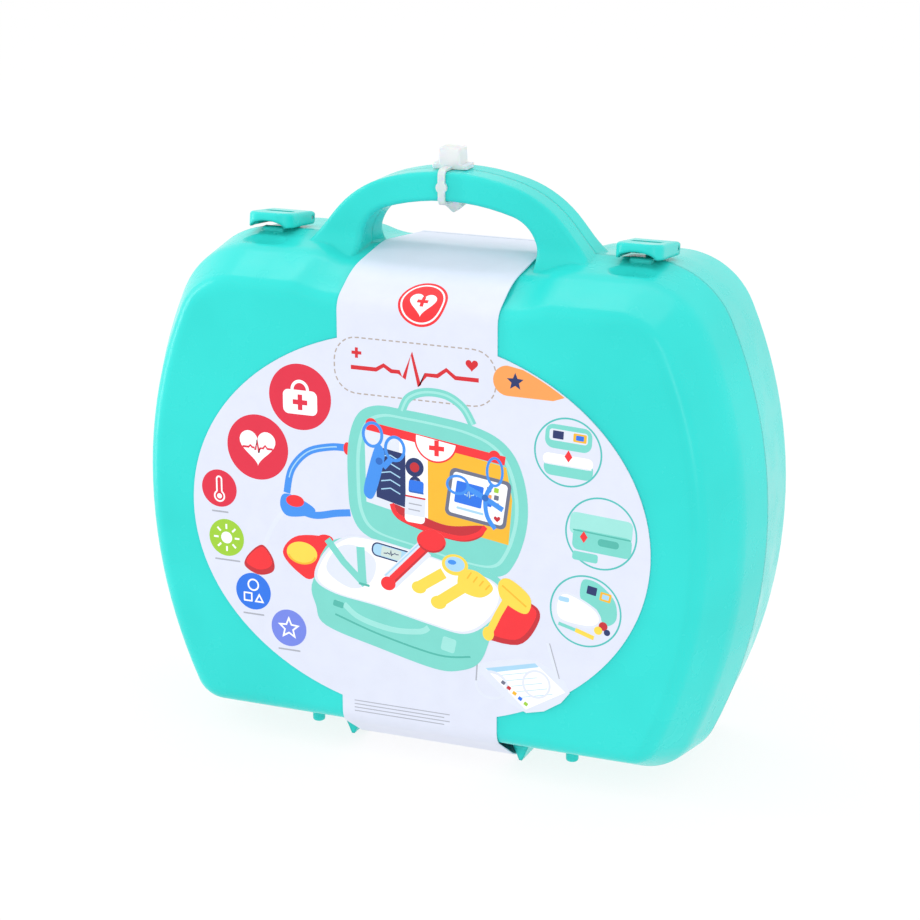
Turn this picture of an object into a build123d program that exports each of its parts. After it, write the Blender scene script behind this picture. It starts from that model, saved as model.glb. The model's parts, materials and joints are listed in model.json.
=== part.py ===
"""Toy medical carry case with its card sleeve and its play tools, closed and standing on its feet.

The origin is on the ground below the middle of the case. X runs to the right along the width,
Y runs from the front face to the back, with the parting plane at Y = 0, and Z is up.
All sizes are in millimetres.
"""

import os
from math import asin, atan2, cos, degrees, radians, sin, sqrt

from build123d import *

os.makedirs("parts", exist_ok=True)

# Case outline, seen from the front
case_bottom = 2.2
case_top = 207.5
waist_z = 106.0
half_width = 131.0
upper_side_radius = 197.0
lower_side_radius = 215.0
shoulder_radius = 37.0
corner_radius = 24.0
saddle_dip = 3.2
saddle_half_width = 37.0
saddle_ramp = 18.0

# Case depth, walls and edges
half_depth = 45.0
wall = 2.2
straight_depth = 23.0
draft_inset = 3.2
face_inset = 13.5
rear_draft = 4.6
rear_edge_radius = 4.0
face_edge_radius = 7.0
bevel_edge_radius = 20.0
rim_step = 0.3
rim_clearance = 0.3
tongue_height = 2.5
tongue_wall = 1.2
ledge_width = 2.8
ledge_thickness = 2.0

# Handle, half of it on each shell
handle_top = 237.1
handle_depth = 11.0
handle_crown_radius = 95.0
handle_crown_half = 27.0
handle_side_radius = 46.0
handle_foot_slope = 51.0
handle_edge_radius = 2.0
grip_top = 225.4
grip_half_width = 37.5
grip_crown_radius = 90.0
grip_corner_radius = 15.0
handle_flare = 11.0

# Hinge under the parting plane
hinge_z = 2.1
hinge_x = 72.0
knuckle_radius = 1.9
knuckle_length = 11.0
knuckle_gap = 0.3
front_knuckle_length = 13.4
hinge_pin_radius = 0.9
knuckle_clearance = 0.3
hinge_boss = 3.6
pin_clearance = 0.05

# Feet
foot_rail_x = 37.5
foot_rail_width = 6.4
foot_rail_height = 6.0
foot_rail_tip = 1.2
foot_rail_near = 9.0
foot_rail_far = 25.0
foot_nub_x = 57.0
foot_nub_y = 17.0
foot_nub_radius = 2.6

# Latches
latch_x = 78.8
latch_width = 19.2
latch_front = 12.3
latch_skirt = 6.0
latch_slope = 7.5
latch_wall = 1.6
latch_corner_radius = 6.0
latch_edge_radius = 1.4
latch_pin_y = 11.0
latch_pin_z = 209.8
latch_pin_radius = 0.8
latch_barrel_radius = 2.6
latch_roof = 1.9
latch_slot_roof = 0.8
latch_lug_width = 6.6
latch_lug_radius = 1.5
latch_side_gap = 0.3
latch_notch_width = 14.6
latch_notch_height = 2.8
latch_groove_length = 12.5
latch_groove_width = 4.4
latch_groove_depth = 0.8
catch_width = 9.0
catch_depth = 3.0
catch_setback = 5.0
catch_height = 1.0
scoop_radius = 9.0
scoop_half_length = 5.0
scoop_y = 16.5
scoop_depth = 1.5

# Card sleeve
card = 0.5
card_gap = 0.2
band_half_width = 33.7
band_x = 1.4
band_top_gap = 0.75
band_bottom_z = 0.95
band_brow_y = 30.0
band_brow_drop = 4.7
band_brow_radius = 38.0
band_top_radius = 7.5
band_sill_y = 24.0
band_sill_radius = 20.0
band_bottom_radius = 7.5
band_rear_radius = 6.0
band_seam_y = 38.0
band_seam_gap = 0.4
band_hinge_gap = 4.0
wing_half_width = 98.0
wing_half_height = 79.4
wing_z = 100.8

# Strap tie round the handle
tie_x = -2.0
strap_width = 2.8
strap_thickness = 1.2
strap_gap = 0.3
strap_corner_radius = 2.4
tie_head_size = 9.6
tie_head_height = 8.2
tie_flange_width = 15.0
tie_flange_thickness = 1.6
tie_bead_radius = 2.3
tie_key_width = 6.4
tie_key_height = 2.2
tie_key_point = 2.6

# Worktop in the front half
worktop_back = 6.0
worktop_thickness = 2.0
worktop_gap = 0.5
pocket_wall = 1.4
pocket_gap = 0.6
lay_gap = 0.2

# Display wall in the rear half
board_thickness = 0.8
board_inset = 19.0
rail_z = 158.0
rail_height = 8.0
rail_margin = 42.0
rail_thickness = 4.0
peg_margin = 55.0
peg_radius = 2.4
peg_length = 15.0
peg_tip_radius = 3.6
peg_tip_length = 2.0
badge_radius = 22.0
badge_thickness = 2.5
plus_size = 15.0
plus_bar = 5.0
plus_thickness = 0.8
shelf_half_width = 34.0
shelf_floor_z = 96.0
shelf_height = 14.0
shelf_depth = 22.0
shelf_wall = 2.0
shelf_corner_radius = 7.0

# Bottle on the shelf
bottle_x = -8.0
bottle_radius = 8.4
bottle_height = 32.0
bottle_neck_radius = 5.0
bottle_neck_height = 9.0
cap_radius = 6.6
cap_height = 10.0
cap_clearance = 0.2

# Ring-handled tools on the pegs
ring_half_width = 9.5
ring_half_height = 15.0
ring_wire = 2.8
ring_offset_x = 13.0
ring_offset_z = 38.0
arm_thickness = 3.4
arm_width = 7.0
arm_layer_gap = 0.2
arm_back_gap = 8.3
blade_length = 50.0
rivet_radius = 2.0
rivet_head_radius = 3.6
rivet_head_thickness = 0.9
jaw_length = 46.0

# Syringe in the worktop
syringe_z = 158.0
barrel_radius = 8.5
barrel_wall = 1.3
barrel_left = -45.0
barrel_length = 80.0
barrel_flange_half = 12.0
barrel_flange_thickness = 2.4
nozzle_radius = 2.6
nozzle_length = 11.0
piston_length = 9.0
piston_clearance = 0.2
plunger_rod_width = 8.0
plunger_rod_thickness = 2.2
plunger_out = 38.0
thumb_radius = 8.0
thumb_thickness = 2.6

# Hand tools in the worktop
tool_thickness = 5.0
tool_pocket_depth = 5.4
mirror_x = 26.0
mirror_radius = 11.0
mirror_rim = 2.0
fork_x = 62.0
tool_bottom_z = 44.0
tool_grip_length = 46.0
tool_grip_width = 11.0
tool_neck_width = 5.0
tool_top_z = 126.0
bowl_x = -54.0
bowl_z = 84.0
bowl_half_width = 32.0
bowl_half_height = 46.0
bowl_depth = 10.4
tweezer_length = 78.0
tweezer_width = 7.5
tweezer_thickness = 2.4
tweezer_spread = 16.0
gauge_length = 60.0
gauge_height = 17.0
gauge_thickness = 6.0
gauge_x = -40.0
gauge_z = 182.0

# Store under the worktop
tray_side_margin = 24.0
tray_width = 56.0
tray_low_z = 62.0
tray_high_z = 140.0
tray_depth = 13.0
tray_wall = 1.8
tray_corner_radius = 10.0
tray_tab_width = 9.0
tray_tab_length = 6.0
tray_tab_z = 22.0
chart_gap = 6.0
chart_low_z = 56.0
chart_high_z = 182.0
chart_thickness = 0.6
hammer_x = -20.0
hammer_low_z = 40.0
hammer_length = 72.0
hammer_grip_width = 9.0
hammer_neck_width = 6.0
hammer_thickness = 7.0
hammer_head_length = 36.0
hammer_head_height = 17.0
hammer_head_thickness = 13.0
round_box_radius = 21.0
round_box_height = 11.0
rim_radius = 21.0
rim_wire = 3.0
rim_pitch = 24.0
rim_thickness = 3.0
rim_z = 158.0
temple_length = 82.0
temple_width = 4.0
temple_thickness = 2.5
stay_plate_length = 42.0
stay_plate_height = 24.0
stay_plate_thickness = 3.0
stay_plate_margin = 59.0
stay_plate_z = 40.0

# Stethoscope on top of the side trays
headset_radius = 3.0
headset_points = [(6.0, 66.0), (44.0, 80.0), (62.0, 122.0), (46.0, 164.0), (22.0, 182.0)]
headset_bend_radius = 18.0
headset_block_width = 24.0
headset_block_height = 15.0
ear_tip_radius = 5.0
tube_radius = 2.5
tube_points = [(0.0, 56.5), (0.0, 40.0), (10.0, 26.0), (26.0, 18.0), (46.0, 16.8), (68.0, 18.5), (84.0, 25.0),
               (93.5, 40.5), (94.6, 59.0), (94.0, 77.0)]
tube_end_gap = 0.2
tube_bend_share = 0.45
chest_margin = 36.0
chest_z = 102.0
chest_radius = 15.0
chest_thickness = 8.0
chest_stem_radius = 2.4

# Places worked out from the sizes above
inner_face = half_depth - wall
upper_angle = asin((case_top - shoulder_radius - waist_z) / (upper_side_radius - shoulder_radius))
lower_angle = asin((waist_z - corner_radius - case_bottom) / (lower_side_radius - corner_radius))
shoulder_x = half_width - upper_side_radius + (upper_side_radius - shoulder_radius) * cos(upper_angle)
corner_x = half_width - lower_side_radius + (lower_side_radius - corner_radius) * cos(lower_angle)
handle_root_z = case_top - saddle_dip - rim_step - draft_inset - wall
saddle_end = saddle_half_width + saddle_ramp
saddle_radius = (saddle_ramp ** 2 + saddle_dip ** 2) / (4 * saddle_dip)
saddle_turn = degrees(asin(saddle_ramp / 2 / saddle_radius))
worktop_face = worktop_back - worktop_thickness
latch_rear = latch_pin_y + latch_barrel_radius
latch_tilt = radians(latch_slope)
latch_front_top = (latch_pin_z + latch_barrel_radius / cos(latch_tilt)
                   + (latch_front + latch_pin_y) * sin(latch_tilt) / cos(latch_tilt))
tray_rim = inner_face - tray_depth
tray_outer_x = half_width - tray_side_margin
tray_inner_x = tray_outer_x - tray_width
chart_half_width = tray_inner_x - chart_gap
stay_plate_x = half_width - stay_plate_margin
peg_x = half_width - peg_margin
chest_x = half_width - chest_margin
rail_half_length = half_width - rail_margin
headset_y = -(tray_rim - lay_gap - headset_radius)


def depth_plane(y):
    """Plane at depth y, drawn in X and Z, whose extrusions run towards the front."""
    return Plane.XZ.offset(-y)


def section(x):
    """A vertical plane across the case, drawn in Y and Z, at the given X."""
    return Plane.YZ.offset(x)


def bar(start, end, width):
    """A round-ended bar between two points of the current sketch."""
    run = (end[0] - start[0], end[1] - start[1])
    middle = ((start[0] + end[0]) / 2, (start[1] + end[1]) / 2)
    with Locations(Location((*middle, 0), (0, 0, degrees(atan2(run[1], run[0]))))):
        SlotCenterToCenter(sqrt(run[0] ** 2 + run[1] ** 2), width)


def case_outline(inset):
    """The barrel outline of the case, drawn in by the inset all round."""
    with BuildSketch() as outline:
        with BuildLine():
            Line((0, case_bottom + inset), (corner_x, case_bottom + inset))
            CenterArc((corner_x, case_bottom + corner_radius), corner_radius - inset,
                      -90, 90 - degrees(lower_angle))
            CenterArc((half_width - lower_side_radius, waist_z), lower_side_radius - inset,
                      -degrees(lower_angle), degrees(lower_angle))
            CenterArc((half_width - upper_side_radius, waist_z), upper_side_radius - inset,
                      0, degrees(upper_angle))
            CenterArc((shoulder_x, case_top - shoulder_radius), shoulder_radius - inset,
                      degrees(upper_angle), 90 - degrees(upper_angle))
            Line((shoulder_x, case_top - inset), (saddle_end, case_top - inset))
            CenterArc((saddle_end, case_top - saddle_radius), saddle_radius - inset, 90, saddle_turn)
            CenterArc((saddle_half_width, case_top - saddle_dip + saddle_radius), saddle_radius + inset,
                      saddle_turn - 90, -saddle_turn)
            Line((saddle_half_width, case_top - saddle_dip - inset), (0, case_top - saddle_dip - inset))
            mirror(about=Plane.YZ)
        make_face()
    return outline.sketch


def case_block(side, inset, depth, edge_radius):
    """One half of the case as a solid block with a flat end face, rounded along its edge.

    side is -1 for the front half, which has a drafted wall and then a bevel, and 1 for the
    rear half, which has one even draft.
    """
    front_stations = [(0.0, inset), (straight_depth, inset + draft_inset), (depth, inset + face_inset)]
    rear_stations = [(0.0, inset), (depth, inset + rear_draft)]
    stations = front_stations if side < 0 else rear_stations
    with BuildPart() as block:
        for (near, near_inset), (far, far_inset) in zip(stations, stations[1:]):
            with BuildSketch(depth_plane(side * near)):
                add(case_outline(near_inset))
            with BuildSketch(depth_plane(side * far)):
                add(case_outline(far_inset))
            loft(ruled=True)
        if side < 0:
            bend = side * straight_depth
            fillet(block.edges().filter_by_position(Axis.Y, bend - 0.01, bend + 0.01), bevel_edge_radius)
        end = side * depth
        fillet(block.edges().filter_by_position(Axis.Y, end - 0.01, end + 0.01), edge_radius)
    return block.part


def handle_profile():
    """The handle seen from the front, with its legs running down into the case and the grip opening cut."""
    turn = degrees(asin(handle_crown_half / handle_crown_radius))
    crown_z = handle_top - handle_crown_radius
    crown_end = (handle_crown_half, crown_z + sqrt(handle_crown_radius ** 2 - handle_crown_half ** 2))
    side_centre = (crown_end[0] - handle_side_radius * sin(radians(turn)),
                   crown_end[1] - handle_side_radius * cos(radians(turn)))
    side_end = (side_centre[0] + handle_side_radius * sin(radians(handle_foot_slope)),
                side_centre[1] + handle_side_radius * cos(radians(handle_foot_slope)))
    foot_slope = radians(handle_foot_slope)
    foot_x = side_end[0] + (side_end[1] - handle_root_z) * cos(foot_slope) / sin(foot_slope)
    grip_corner_z = grip_top - grip_crown_radius + sqrt(grip_crown_radius ** 2 - grip_half_width ** 2)
    with BuildSketch() as profile:
        with BuildLine():
            Line((0, handle_root_z), (foot_x, handle_root_z))
            Line((foot_x, handle_root_z), side_end)
            CenterArc(side_centre, handle_side_radius, 90 - handle_foot_slope, handle_foot_slope - turn)
            CenterArc((0, crown_z), handle_crown_radius, 90 - turn, turn)
            mirror(about=Plane.YZ)
        make_face()
        with BuildSketch(mode=Mode.PRIVATE) as grip:
            grip_low_z = handle_root_z - 1
            with BuildLine():
                Line((0, grip_low_z), (grip_half_width, grip_low_z))
                Line((grip_half_width, grip_low_z), (grip_half_width, grip_corner_z))
                ThreePointArc((grip_half_width, grip_corner_z), (0, grip_top), (-grip_half_width, grip_corner_z))
                Line((-grip_half_width, grip_corner_z), (-grip_half_width, grip_low_z))
                Line((-grip_half_width, grip_low_z), (0, grip_low_z))
            make_face()
            fillet(grip.vertices().group_by(Axis.Y)[-1], grip_corner_radius)
        add(grip.sketch, mode=Mode.SUBTRACT)
    return profile.sketch


def handle_half(side):
    """Half of the carrying handle: a bar rounded on its outer face, with legs that flare out over the case."""
    flare_low_z = case_top - saddle_dip - draft_inset
    flare_high_z = flare_low_z + handle_flare
    near, far = side * handle_depth, side * (handle_depth + handle_flare)
    with BuildPart() as handle:
        with BuildSketch(depth_plane(0)):
            add(handle_profile())
        extrude(amount=-side * (handle_depth + handle_flare))
        with BuildSketch(section(-half_width)):
            with BuildLine():
                Polyline((far, flare_low_z), (far, handle_root_z), (0, handle_root_z), (0, handle_top + 1),
                         (near, handle_top + 1), (near, flare_high_z))
                CenterArc((far, flare_high_z), handle_flare, 90 + 90 * side, 90 * side)
            make_face()
        extrude(amount=2 * half_width, mode=Mode.INTERSECT)
        fillet([edge for edge in handle.edges().filter_by(Axis.X, reverse=True)
                if side * edge.center().Y > handle_depth - 0.01 and edge.center().Z > flare_low_z + 0.01],
               handle_edge_radius)
    return handle.part


def hinge_bars(centres, length, radius):
    """Round bars on the hinge axis."""
    with BuildPart() as bars:
        for centre in centres:
            with BuildSketch(section(centre - length / 2)):
                with Locations((0, hinge_z)):
                    Circle(radius)
            extrude(amount=length)
    return bars.part


def hinge_seat(side, own, own_length, other, other_length):
    """Adds one shell's part of the hinge to the shell: bosses, room for the other knuckles, own knuckles."""
    for x in (-hinge_x, hinge_x):
        with Locations((x, side * hinge_boss / 2, hinge_z + hinge_boss / 2 + knuckle_clearance)):
            Box(hinge_span, hinge_boss, hinge_boss)
    add(hinge_bars(other, other_length + 2 * knuckle_gap, knuckle_radius + knuckle_clearance), mode=Mode.SUBTRACT)
    add(hinge_bars(own, own_length, knuckle_radius))
    add(hinge_bars((-hinge_x, hinge_x), 2 * hinge_span, hinge_pin_radius + pin_clearance), mode=Mode.SUBTRACT)


def feet(side):
    """Two keel-shaped rails and two round nubs under one shell, long enough to reach into its wall."""
    reach = case_bottom + face_inset
    with BuildPart() as standing:
        with BuildSketch(depth_plane(side * foot_rail_near)):
            for x in (-foot_rail_x, foot_rail_x):
                with BuildLine():
                    Polyline((x - foot_rail_tip / 2, 0), (x + foot_rail_tip / 2, 0),
                             (x + foot_rail_width / 2, foot_rail_height), (x + foot_rail_width / 2, reach),
                             (x - foot_rail_width / 2, reach), (x - foot_rail_width / 2, foot_rail_height), close=True)
                make_face()
        extrude(amount=-side * (foot_rail_far - foot_rail_near))
        with BuildSketch():
            with Locations((-foot_nub_x, side * foot_nub_y), (foot_nub_x, side * foot_nub_y)):
                Circle(foot_nub_radius)
        extrude(amount=reach)
        nub_tips = standing.faces().group_by(Axis.Z)[0].edges().filter_by(GeomType.CIRCLE)
        fillet(nub_tips, 1.0)
    return standing.part


hinge_span = front_knuckle_length + 2 * (knuckle_gap + knuckle_length)
front_knuckle_centres = (-hinge_x, hinge_x)
rear_knuckle_centres = [
    sign * (hinge_x + offset * (front_knuckle_length / 2 + knuckle_gap + knuckle_length / 2))
    for sign in (-1, 1)
    for offset in (-1, 1)
]

# Front shell
scoop_top = case_top - draft_inset * scoop_y / straight_depth
with BuildPart() as front_cavity:
    add(case_block(-1, wall, inner_face, face_edge_radius - wall))
    with Locations([(x, -scoop_y, scoop_top) for x in (-latch_x, latch_x)]):
        Box(2 * (scoop_half_length + scoop_radius), 2 * scoop_radius, 2 * (scoop_depth + wall), mode=Mode.SUBTRACT)
with BuildPart() as front_shell:
    add(case_block(-1, 0, half_depth, face_edge_radius))
    add(handle_half(-1))
    add(feet(-1))
    catch_base = case_top - draft_inset - wall
    with BuildSketch(Plane.XY.offset(catch_base)):
        with Locations([(x, -catch_setback) for x in (-latch_x, latch_x)]):
            Rectangle(catch_width, catch_depth)
    extrude(amount=case_top + catch_height - catch_base)
    add(front_cavity.part, mode=Mode.SUBTRACT)
    for x in (-latch_x, latch_x):
        with Locations((x, -scoop_y, scoop_top + scoop_radius - scoop_depth)):
            Cylinder(scoop_radius, 2 * scoop_half_length, rotation=(0, 90, 0), mode=Mode.SUBTRACT)
        with Locations([(x + end, -scoop_y, scoop_top + scoop_radius - scoop_depth)
                        for end in (-scoop_half_length, scoop_half_length)]):
            Sphere(scoop_radius, mode=Mode.SUBTRACT)
    with BuildSketch(depth_plane(-worktop_back)):
        add(case_outline(wall))
        add(case_outline(wall + draft_inset * worktop_back / straight_depth + ledge_width), mode=Mode.SUBTRACT)
    extrude(amount=ledge_thickness)
    hinge_seat(-1, front_knuckle_centres, front_knuckle_length, rear_knuckle_centres, knuckle_length)
front_shell.part.label = "front_shell"

# Rear shell, stepped in a little, with the tongue that enters the front rim and the lugs of the latches
tongue_outer = wall + draft_inset * tongue_height / straight_depth + rim_clearance
tongue_inner = tongue_outer + tongue_wall
with BuildPart() as rear_shell:
    add(case_block(1, rim_step, half_depth, rear_edge_radius))
    add(handle_half(1))
    add(feet(1))
    for x in (-latch_x, latch_x):
        with BuildSketch(section(x - latch_lug_width / 2)):
            with Locations((latch_pin_y, latch_pin_z)):
                Circle(latch_lug_radius)
            with Locations((latch_pin_y, (catch_base + latch_pin_z) / 2)):
                Rectangle(2 * latch_lug_radius, latch_pin_z - catch_base)
            with Locations((latch_pin_y, latch_pin_z)):
                Circle(latch_pin_radius + pin_clearance, mode=Mode.SUBTRACT)
        extrude(amount=latch_lug_width)
    add(case_block(1, rim_step + wall, inner_face, rear_edge_radius - wall), mode=Mode.SUBTRACT)
    with BuildSketch(depth_plane(2 * wall)):
        add(case_outline(wall + rim_clearance))
        add(case_outline(tongue_inner), mode=Mode.SUBTRACT)
    extrude(amount=2 * wall)
    with BuildSketch(depth_plane(0)):
        add(case_outline(tongue_outer))
        add(case_outline(tongue_inner), mode=Mode.SUBTRACT)
    extrude(amount=tongue_height)
    for x in (-hinge_x, hinge_x):
        with Locations((x, -2 * tongue_height, case_bottom + 2 * wall)):
            Box(hinge_span + 2 * knuckle_gap, 4 * tongue_height, 4 * wall, mode=Mode.SUBTRACT)
    hinge_seat(1, rear_knuckle_centres, knuckle_length, front_knuckle_centres, front_knuckle_length)
rear_shell.part.label = "rear_shell"

# Hinge pins, one through each set of three knuckles
with BuildPart() as hinge_pins:
    for x in (-hinge_x, hinge_x):
        with BuildSketch(section(x - hinge_span / 2)):
            with Locations((0, hinge_z)):
                Circle(hinge_pin_radius)
        extrude(amount=hinge_span)
hinge_pins.part.label = "hinge_pins"


def latch(x):
    """A latch tab at X: a sloping hollow lid with a finger notch, a rear barrel for its pin and a top groove."""
    length = latch_front + latch_rear
    height = 2 * latch_barrel_radius + latch_front_top - latch_pin_z
    barrel_start = latch_pin_y - latch_barrel_radius - latch_lug_radius
    hollow_length = barrel_start + latch_front - latch_wall
    lid_up = (0, sin(latch_tilt), cos(latch_tilt))
    lid = Plane(origin=(x, -latch_front, latch_front_top), x_dir=(1, 0, 0), z_dir=lid_up)
    with BuildPart() as tab:
        with BuildSketch(lid) as plan:
            with Locations((0, length / 2)):
                Rectangle(latch_width, length)
            fillet(plan.vertices().group_by(Axis.Y)[0], latch_corner_radius)
        extrude(amount=-height)
        fillet(tab.faces().sort_by(Axis.Z)[-1].edges(), latch_edge_radius)
        with BuildSketch(section(x - latch_width)):
            with Locations((latch_pin_y, latch_pin_z)):
                Circle(latch_barrel_radius)
            with BuildLine():
                Polyline((-latch_front - 1, latch_front_top + 1), (-latch_front - 1, latch_front_top - latch_skirt),
                         (-latch_front, latch_front_top - latch_skirt),
                         (latch_pin_y, latch_pin_z - latch_barrel_radius),
                         (latch_pin_y, latch_front_top + 1), close=True)
            make_face()
        extrude(amount=2 * latch_width, mode=Mode.INTERSECT)
        with BuildSketch(lid.offset(-latch_roof)) as hollow:
            with Locations((0, latch_wall + hollow_length / 2)):
                Rectangle(latch_width - 2 * latch_wall, hollow_length)
            fillet(hollow.vertices().group_by(Axis.Y)[0], latch_corner_radius - latch_wall)
        extrude(amount=-height, mode=Mode.SUBTRACT)
        slot_width = latch_lug_width + 2 * latch_side_gap
        slot_top = latch_pin_z + latch_barrel_radius - latch_slot_roof
        with Locations((x, latch_pin_y, slot_top - height / 2)):
            Box(slot_width, 4 * latch_barrel_radius, height, mode=Mode.SUBTRACT)
        with Locations((x, latch_pin_y, latch_pin_z)):
            Cylinder(latch_pin_radius + pin_clearance, 2 * latch_width, rotation=(0, 90, 0), mode=Mode.SUBTRACT)
        with BuildSketch(depth_plane(-latch_front + 2 * latch_wall)):
            with Locations((x, latch_front_top - latch_skirt)):
                Ellipse(latch_notch_width / 2, latch_notch_height)
        extrude(amount=4 * latch_wall, mode=Mode.SUBTRACT)
        with BuildSketch(lid.offset(-latch_groove_depth)):
            with Locations((0, length / 2)):
                SlotOverall(latch_groove_length, latch_groove_width)
        extrude(amount=2 * latch_groove_depth, mode=Mode.SUBTRACT)
    return tab.part


def latch_pin(x):
    """The pin of the latch at X, flush inside the latch's side walls."""
    with BuildPart() as pin:
        with Locations((x, latch_pin_y, latch_pin_z)):
            Cylinder(latch_pin_radius, latch_width - 2 * latch_side_gap, rotation=(0, 90, 0))
    return pin.part


with BuildPart() as latch_left:
    add(latch(-latch_x))
latch_left.part.label = "latch_left"
with BuildPart() as latch_right:
    add(latch(latch_x))
latch_right.part.label = "latch_right"
with BuildPart() as latch_pin_left:
    add(latch_pin(-latch_x))
latch_pin_left.part.label = "latch_pin_left"
with BuildPart() as latch_pin_right:
    add(latch_pin(latch_x))
latch_pin_right.part.label = "latch_pin_right"

# Card sleeve: a band round the case with a wide wing on the front face
card_line = half_depth + card_gap + card / 2
band_top_z = case_top - saddle_dip + band_top_gap + card / 2
band_under_z = band_bottom_z + card / 2
band_rear_z = band_top_z - band_seam_y * rear_draft / half_depth
brow_z = band_top_z - band_brow_drop
face_top_z = case_top - saddle_dip - face_inset
face_low_z = case_bottom + face_inset
with BuildPart() as sleeve_front:
    with BuildSketch(section(band_x - band_half_width)):
        with BuildLine():
            FilletPolyline((-band_hinge_gap, band_under_z), (-band_sill_y, band_under_z), (-card_line, face_low_z),
                           (-card_line, face_top_z), (-band_brow_y, brow_z), (0, band_top_z),
                           (band_seam_y, band_rear_z),
                           radius=[band_sill_radius, band_bottom_radius, band_top_radius, band_brow_radius,
                                   band_brow_radius])
        trace(line_width=card)
    extrude(amount=2 * band_half_width)
    with BuildSketch(depth_plane(-half_depth - card_gap)):
        with Locations((0, wing_z)):
            Ellipse(wing_half_width, wing_half_height)
    extrude(amount=card)
sleeve_front.part.label = "sleeve_front"
with BuildPart() as sleeve_back:
    with BuildSketch(section(band_x - band_half_width)):
        with BuildLine():
            FilletPolyline((band_hinge_gap, band_under_z), (card_line, band_under_z),
                           (card_line, band_rear_z), (band_seam_y + band_seam_gap, band_rear_z),
                           radius=band_rear_radius)
        trace(line_width=card)
    extrude(amount=2 * band_half_width)
sleeve_back.part.label = "sleeve_back"

# Strap tie: a strap in two lengths that meet under the handle, and its head on top
strap_y = handle_depth + strap_gap + strap_thickness / 2
strap_over_z = handle_top + strap_gap + strap_thickness / 2
strap_under_z = grip_top - strap_gap - strap_thickness / 2
head_half = tie_head_size / 2
with BuildPart() as tie_strap_front:
    with BuildSketch(section(tie_x - strap_width / 2)):
        with BuildLine():
            FilletPolyline((-head_half, strap_over_z), (-strap_y, strap_over_z), (-strap_y, strap_under_z),
                           (0, strap_under_z), radius=strap_corner_radius)
        trace(line_width=strap_thickness)
    extrude(amount=strap_width)
    bead_z = (strap_over_z + strap_under_z) / 2
    with Locations((tie_x, -strap_y, bead_z)):
        Cylinder(tie_bead_radius, strap_thickness, rotation=(90, 0, 0))
tie_strap_front.part.label = "tie_strap_front"
with BuildPart() as tie_strap_rear:
    with BuildSketch(section(tie_x - strap_width / 2)):
        with BuildLine():
            FilletPolyline((head_half, strap_over_z), (strap_y, strap_over_z), (strap_y, strap_under_z),
                           (0, strap_under_z), radius=strap_corner_radius)
        trace(line_width=strap_thickness)
    extrude(amount=strap_width)
    with Locations((tie_x, strap_y, bead_z)):
        Cylinder(tie_bead_radius, strap_thickness, rotation=(90, 0, 0))
    with BuildSketch(depth_plane(tie_key_width)):
        key_low_z = strap_under_z - strap_thickness / 2 - tie_key_height
        with BuildLine():
            Polyline((tie_x - tie_key_width / 2, strap_under_z), (tie_x - tie_key_width / 2, key_low_z),
                     (tie_x, key_low_z - tie_key_point), (tie_x + tie_key_width / 2, key_low_z),
                     (tie_x + tie_key_width / 2, strap_under_z), close=True)
        make_face()
    extrude(amount=tie_key_width)
tie_strap_rear.part.label = "tie_strap_rear"
with BuildPart() as tie_head:
    with BuildSketch(Plane.XY.offset(handle_top + strap_gap)):
        with Locations((tie_x, 0)):
            RectangleRounded(tie_flange_width, tie_head_size - 2 * strap_gap, 1.5)
    extrude(amount=tie_flange_thickness)
    with BuildSketch(Plane.XY.offset(handle_top + strap_gap)):
        with Locations((tie_x, 0)):
            RectangleRounded(tie_head_size, tie_head_size - 2 * strap_gap, 1.2)
    extrude(amount=tie_head_height, taper=3)
    fillet(tie_head.faces().sort_by(Axis.Z)[-1].edges(), 0.8)
tie_head.part.label = "tie_head"

# Display wall of the rear half
board_face = inner_face - board_thickness
with BuildPart() as backboard:
    with BuildSketch(depth_plane(inner_face)):
        add(case_outline(board_inset))
    extrude(amount=board_thickness)
backboard.part.label = "backboard"

with BuildPart() as hook_rail:
    with BuildSketch(depth_plane(board_face)):
        bar((-rail_half_length, rail_z), (rail_half_length, rail_z), rail_height)
    extrude(amount=rail_thickness)
    with BuildSketch(depth_plane(board_face - rail_thickness)):
        with Locations((-peg_x, rail_z), (peg_x, rail_z)):
            Circle(peg_radius)
    extrude(amount=peg_length)
    with BuildSketch(depth_plane(board_face - rail_thickness - peg_length + peg_tip_length)):
        with Locations((-peg_x, rail_z), (peg_x, rail_z)):
            Circle(peg_tip_radius)
    extrude(amount=peg_tip_length)
hook_rail.part.label = "hook_rail"

badge_z = rail_z + rail_height / 2
with BuildPart() as badge:
    with BuildSketch(depth_plane(board_face)):
        with Locations((0, badge_z)):
            Circle(badge_radius)
        with Locations((0, badge_z - badge_radius)):
            Rectangle(2 * badge_radius, 2 * badge_radius, mode=Mode.SUBTRACT)
    extrude(amount=badge_thickness)
badge.part.label = "badge"
with BuildPart() as badge_plus:
    with BuildSketch(depth_plane(board_face - badge_thickness)):
        with Locations((0, badge_z + badge_radius / 2)):
            Rectangle(plus_size, plus_bar)
            Rectangle(plus_bar, plus_size)
    extrude(amount=plus_thickness)
badge_plus.part.label = "badge_plus"

with BuildPart() as shelf_tray:
    with BuildSketch(Plane.XY.offset(shelf_floor_z)) as shelf_plan:
        with Locations((0, board_face - shelf_depth / 2)):
            Rectangle(2 * shelf_half_width, shelf_depth)
        fillet(shelf_plan.vertices().group_by(Axis.Y)[0], shelf_corner_radius)
    extrude(amount=shelf_height)
    with BuildSketch(Plane.XY.offset(shelf_floor_z + shelf_wall)) as shelf_hollow:
        with Locations((0, board_face - shelf_depth / 2)):
            Rectangle(2 * (shelf_half_width - shelf_wall), shelf_depth - 2 * shelf_wall)
        fillet(shelf_hollow.vertices().group_by(Axis.Y)[0], shelf_corner_radius - shelf_wall)
    extrude(amount=shelf_height, mode=Mode.SUBTRACT)
shelf_tray.part.label = "shelf_tray"

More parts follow.
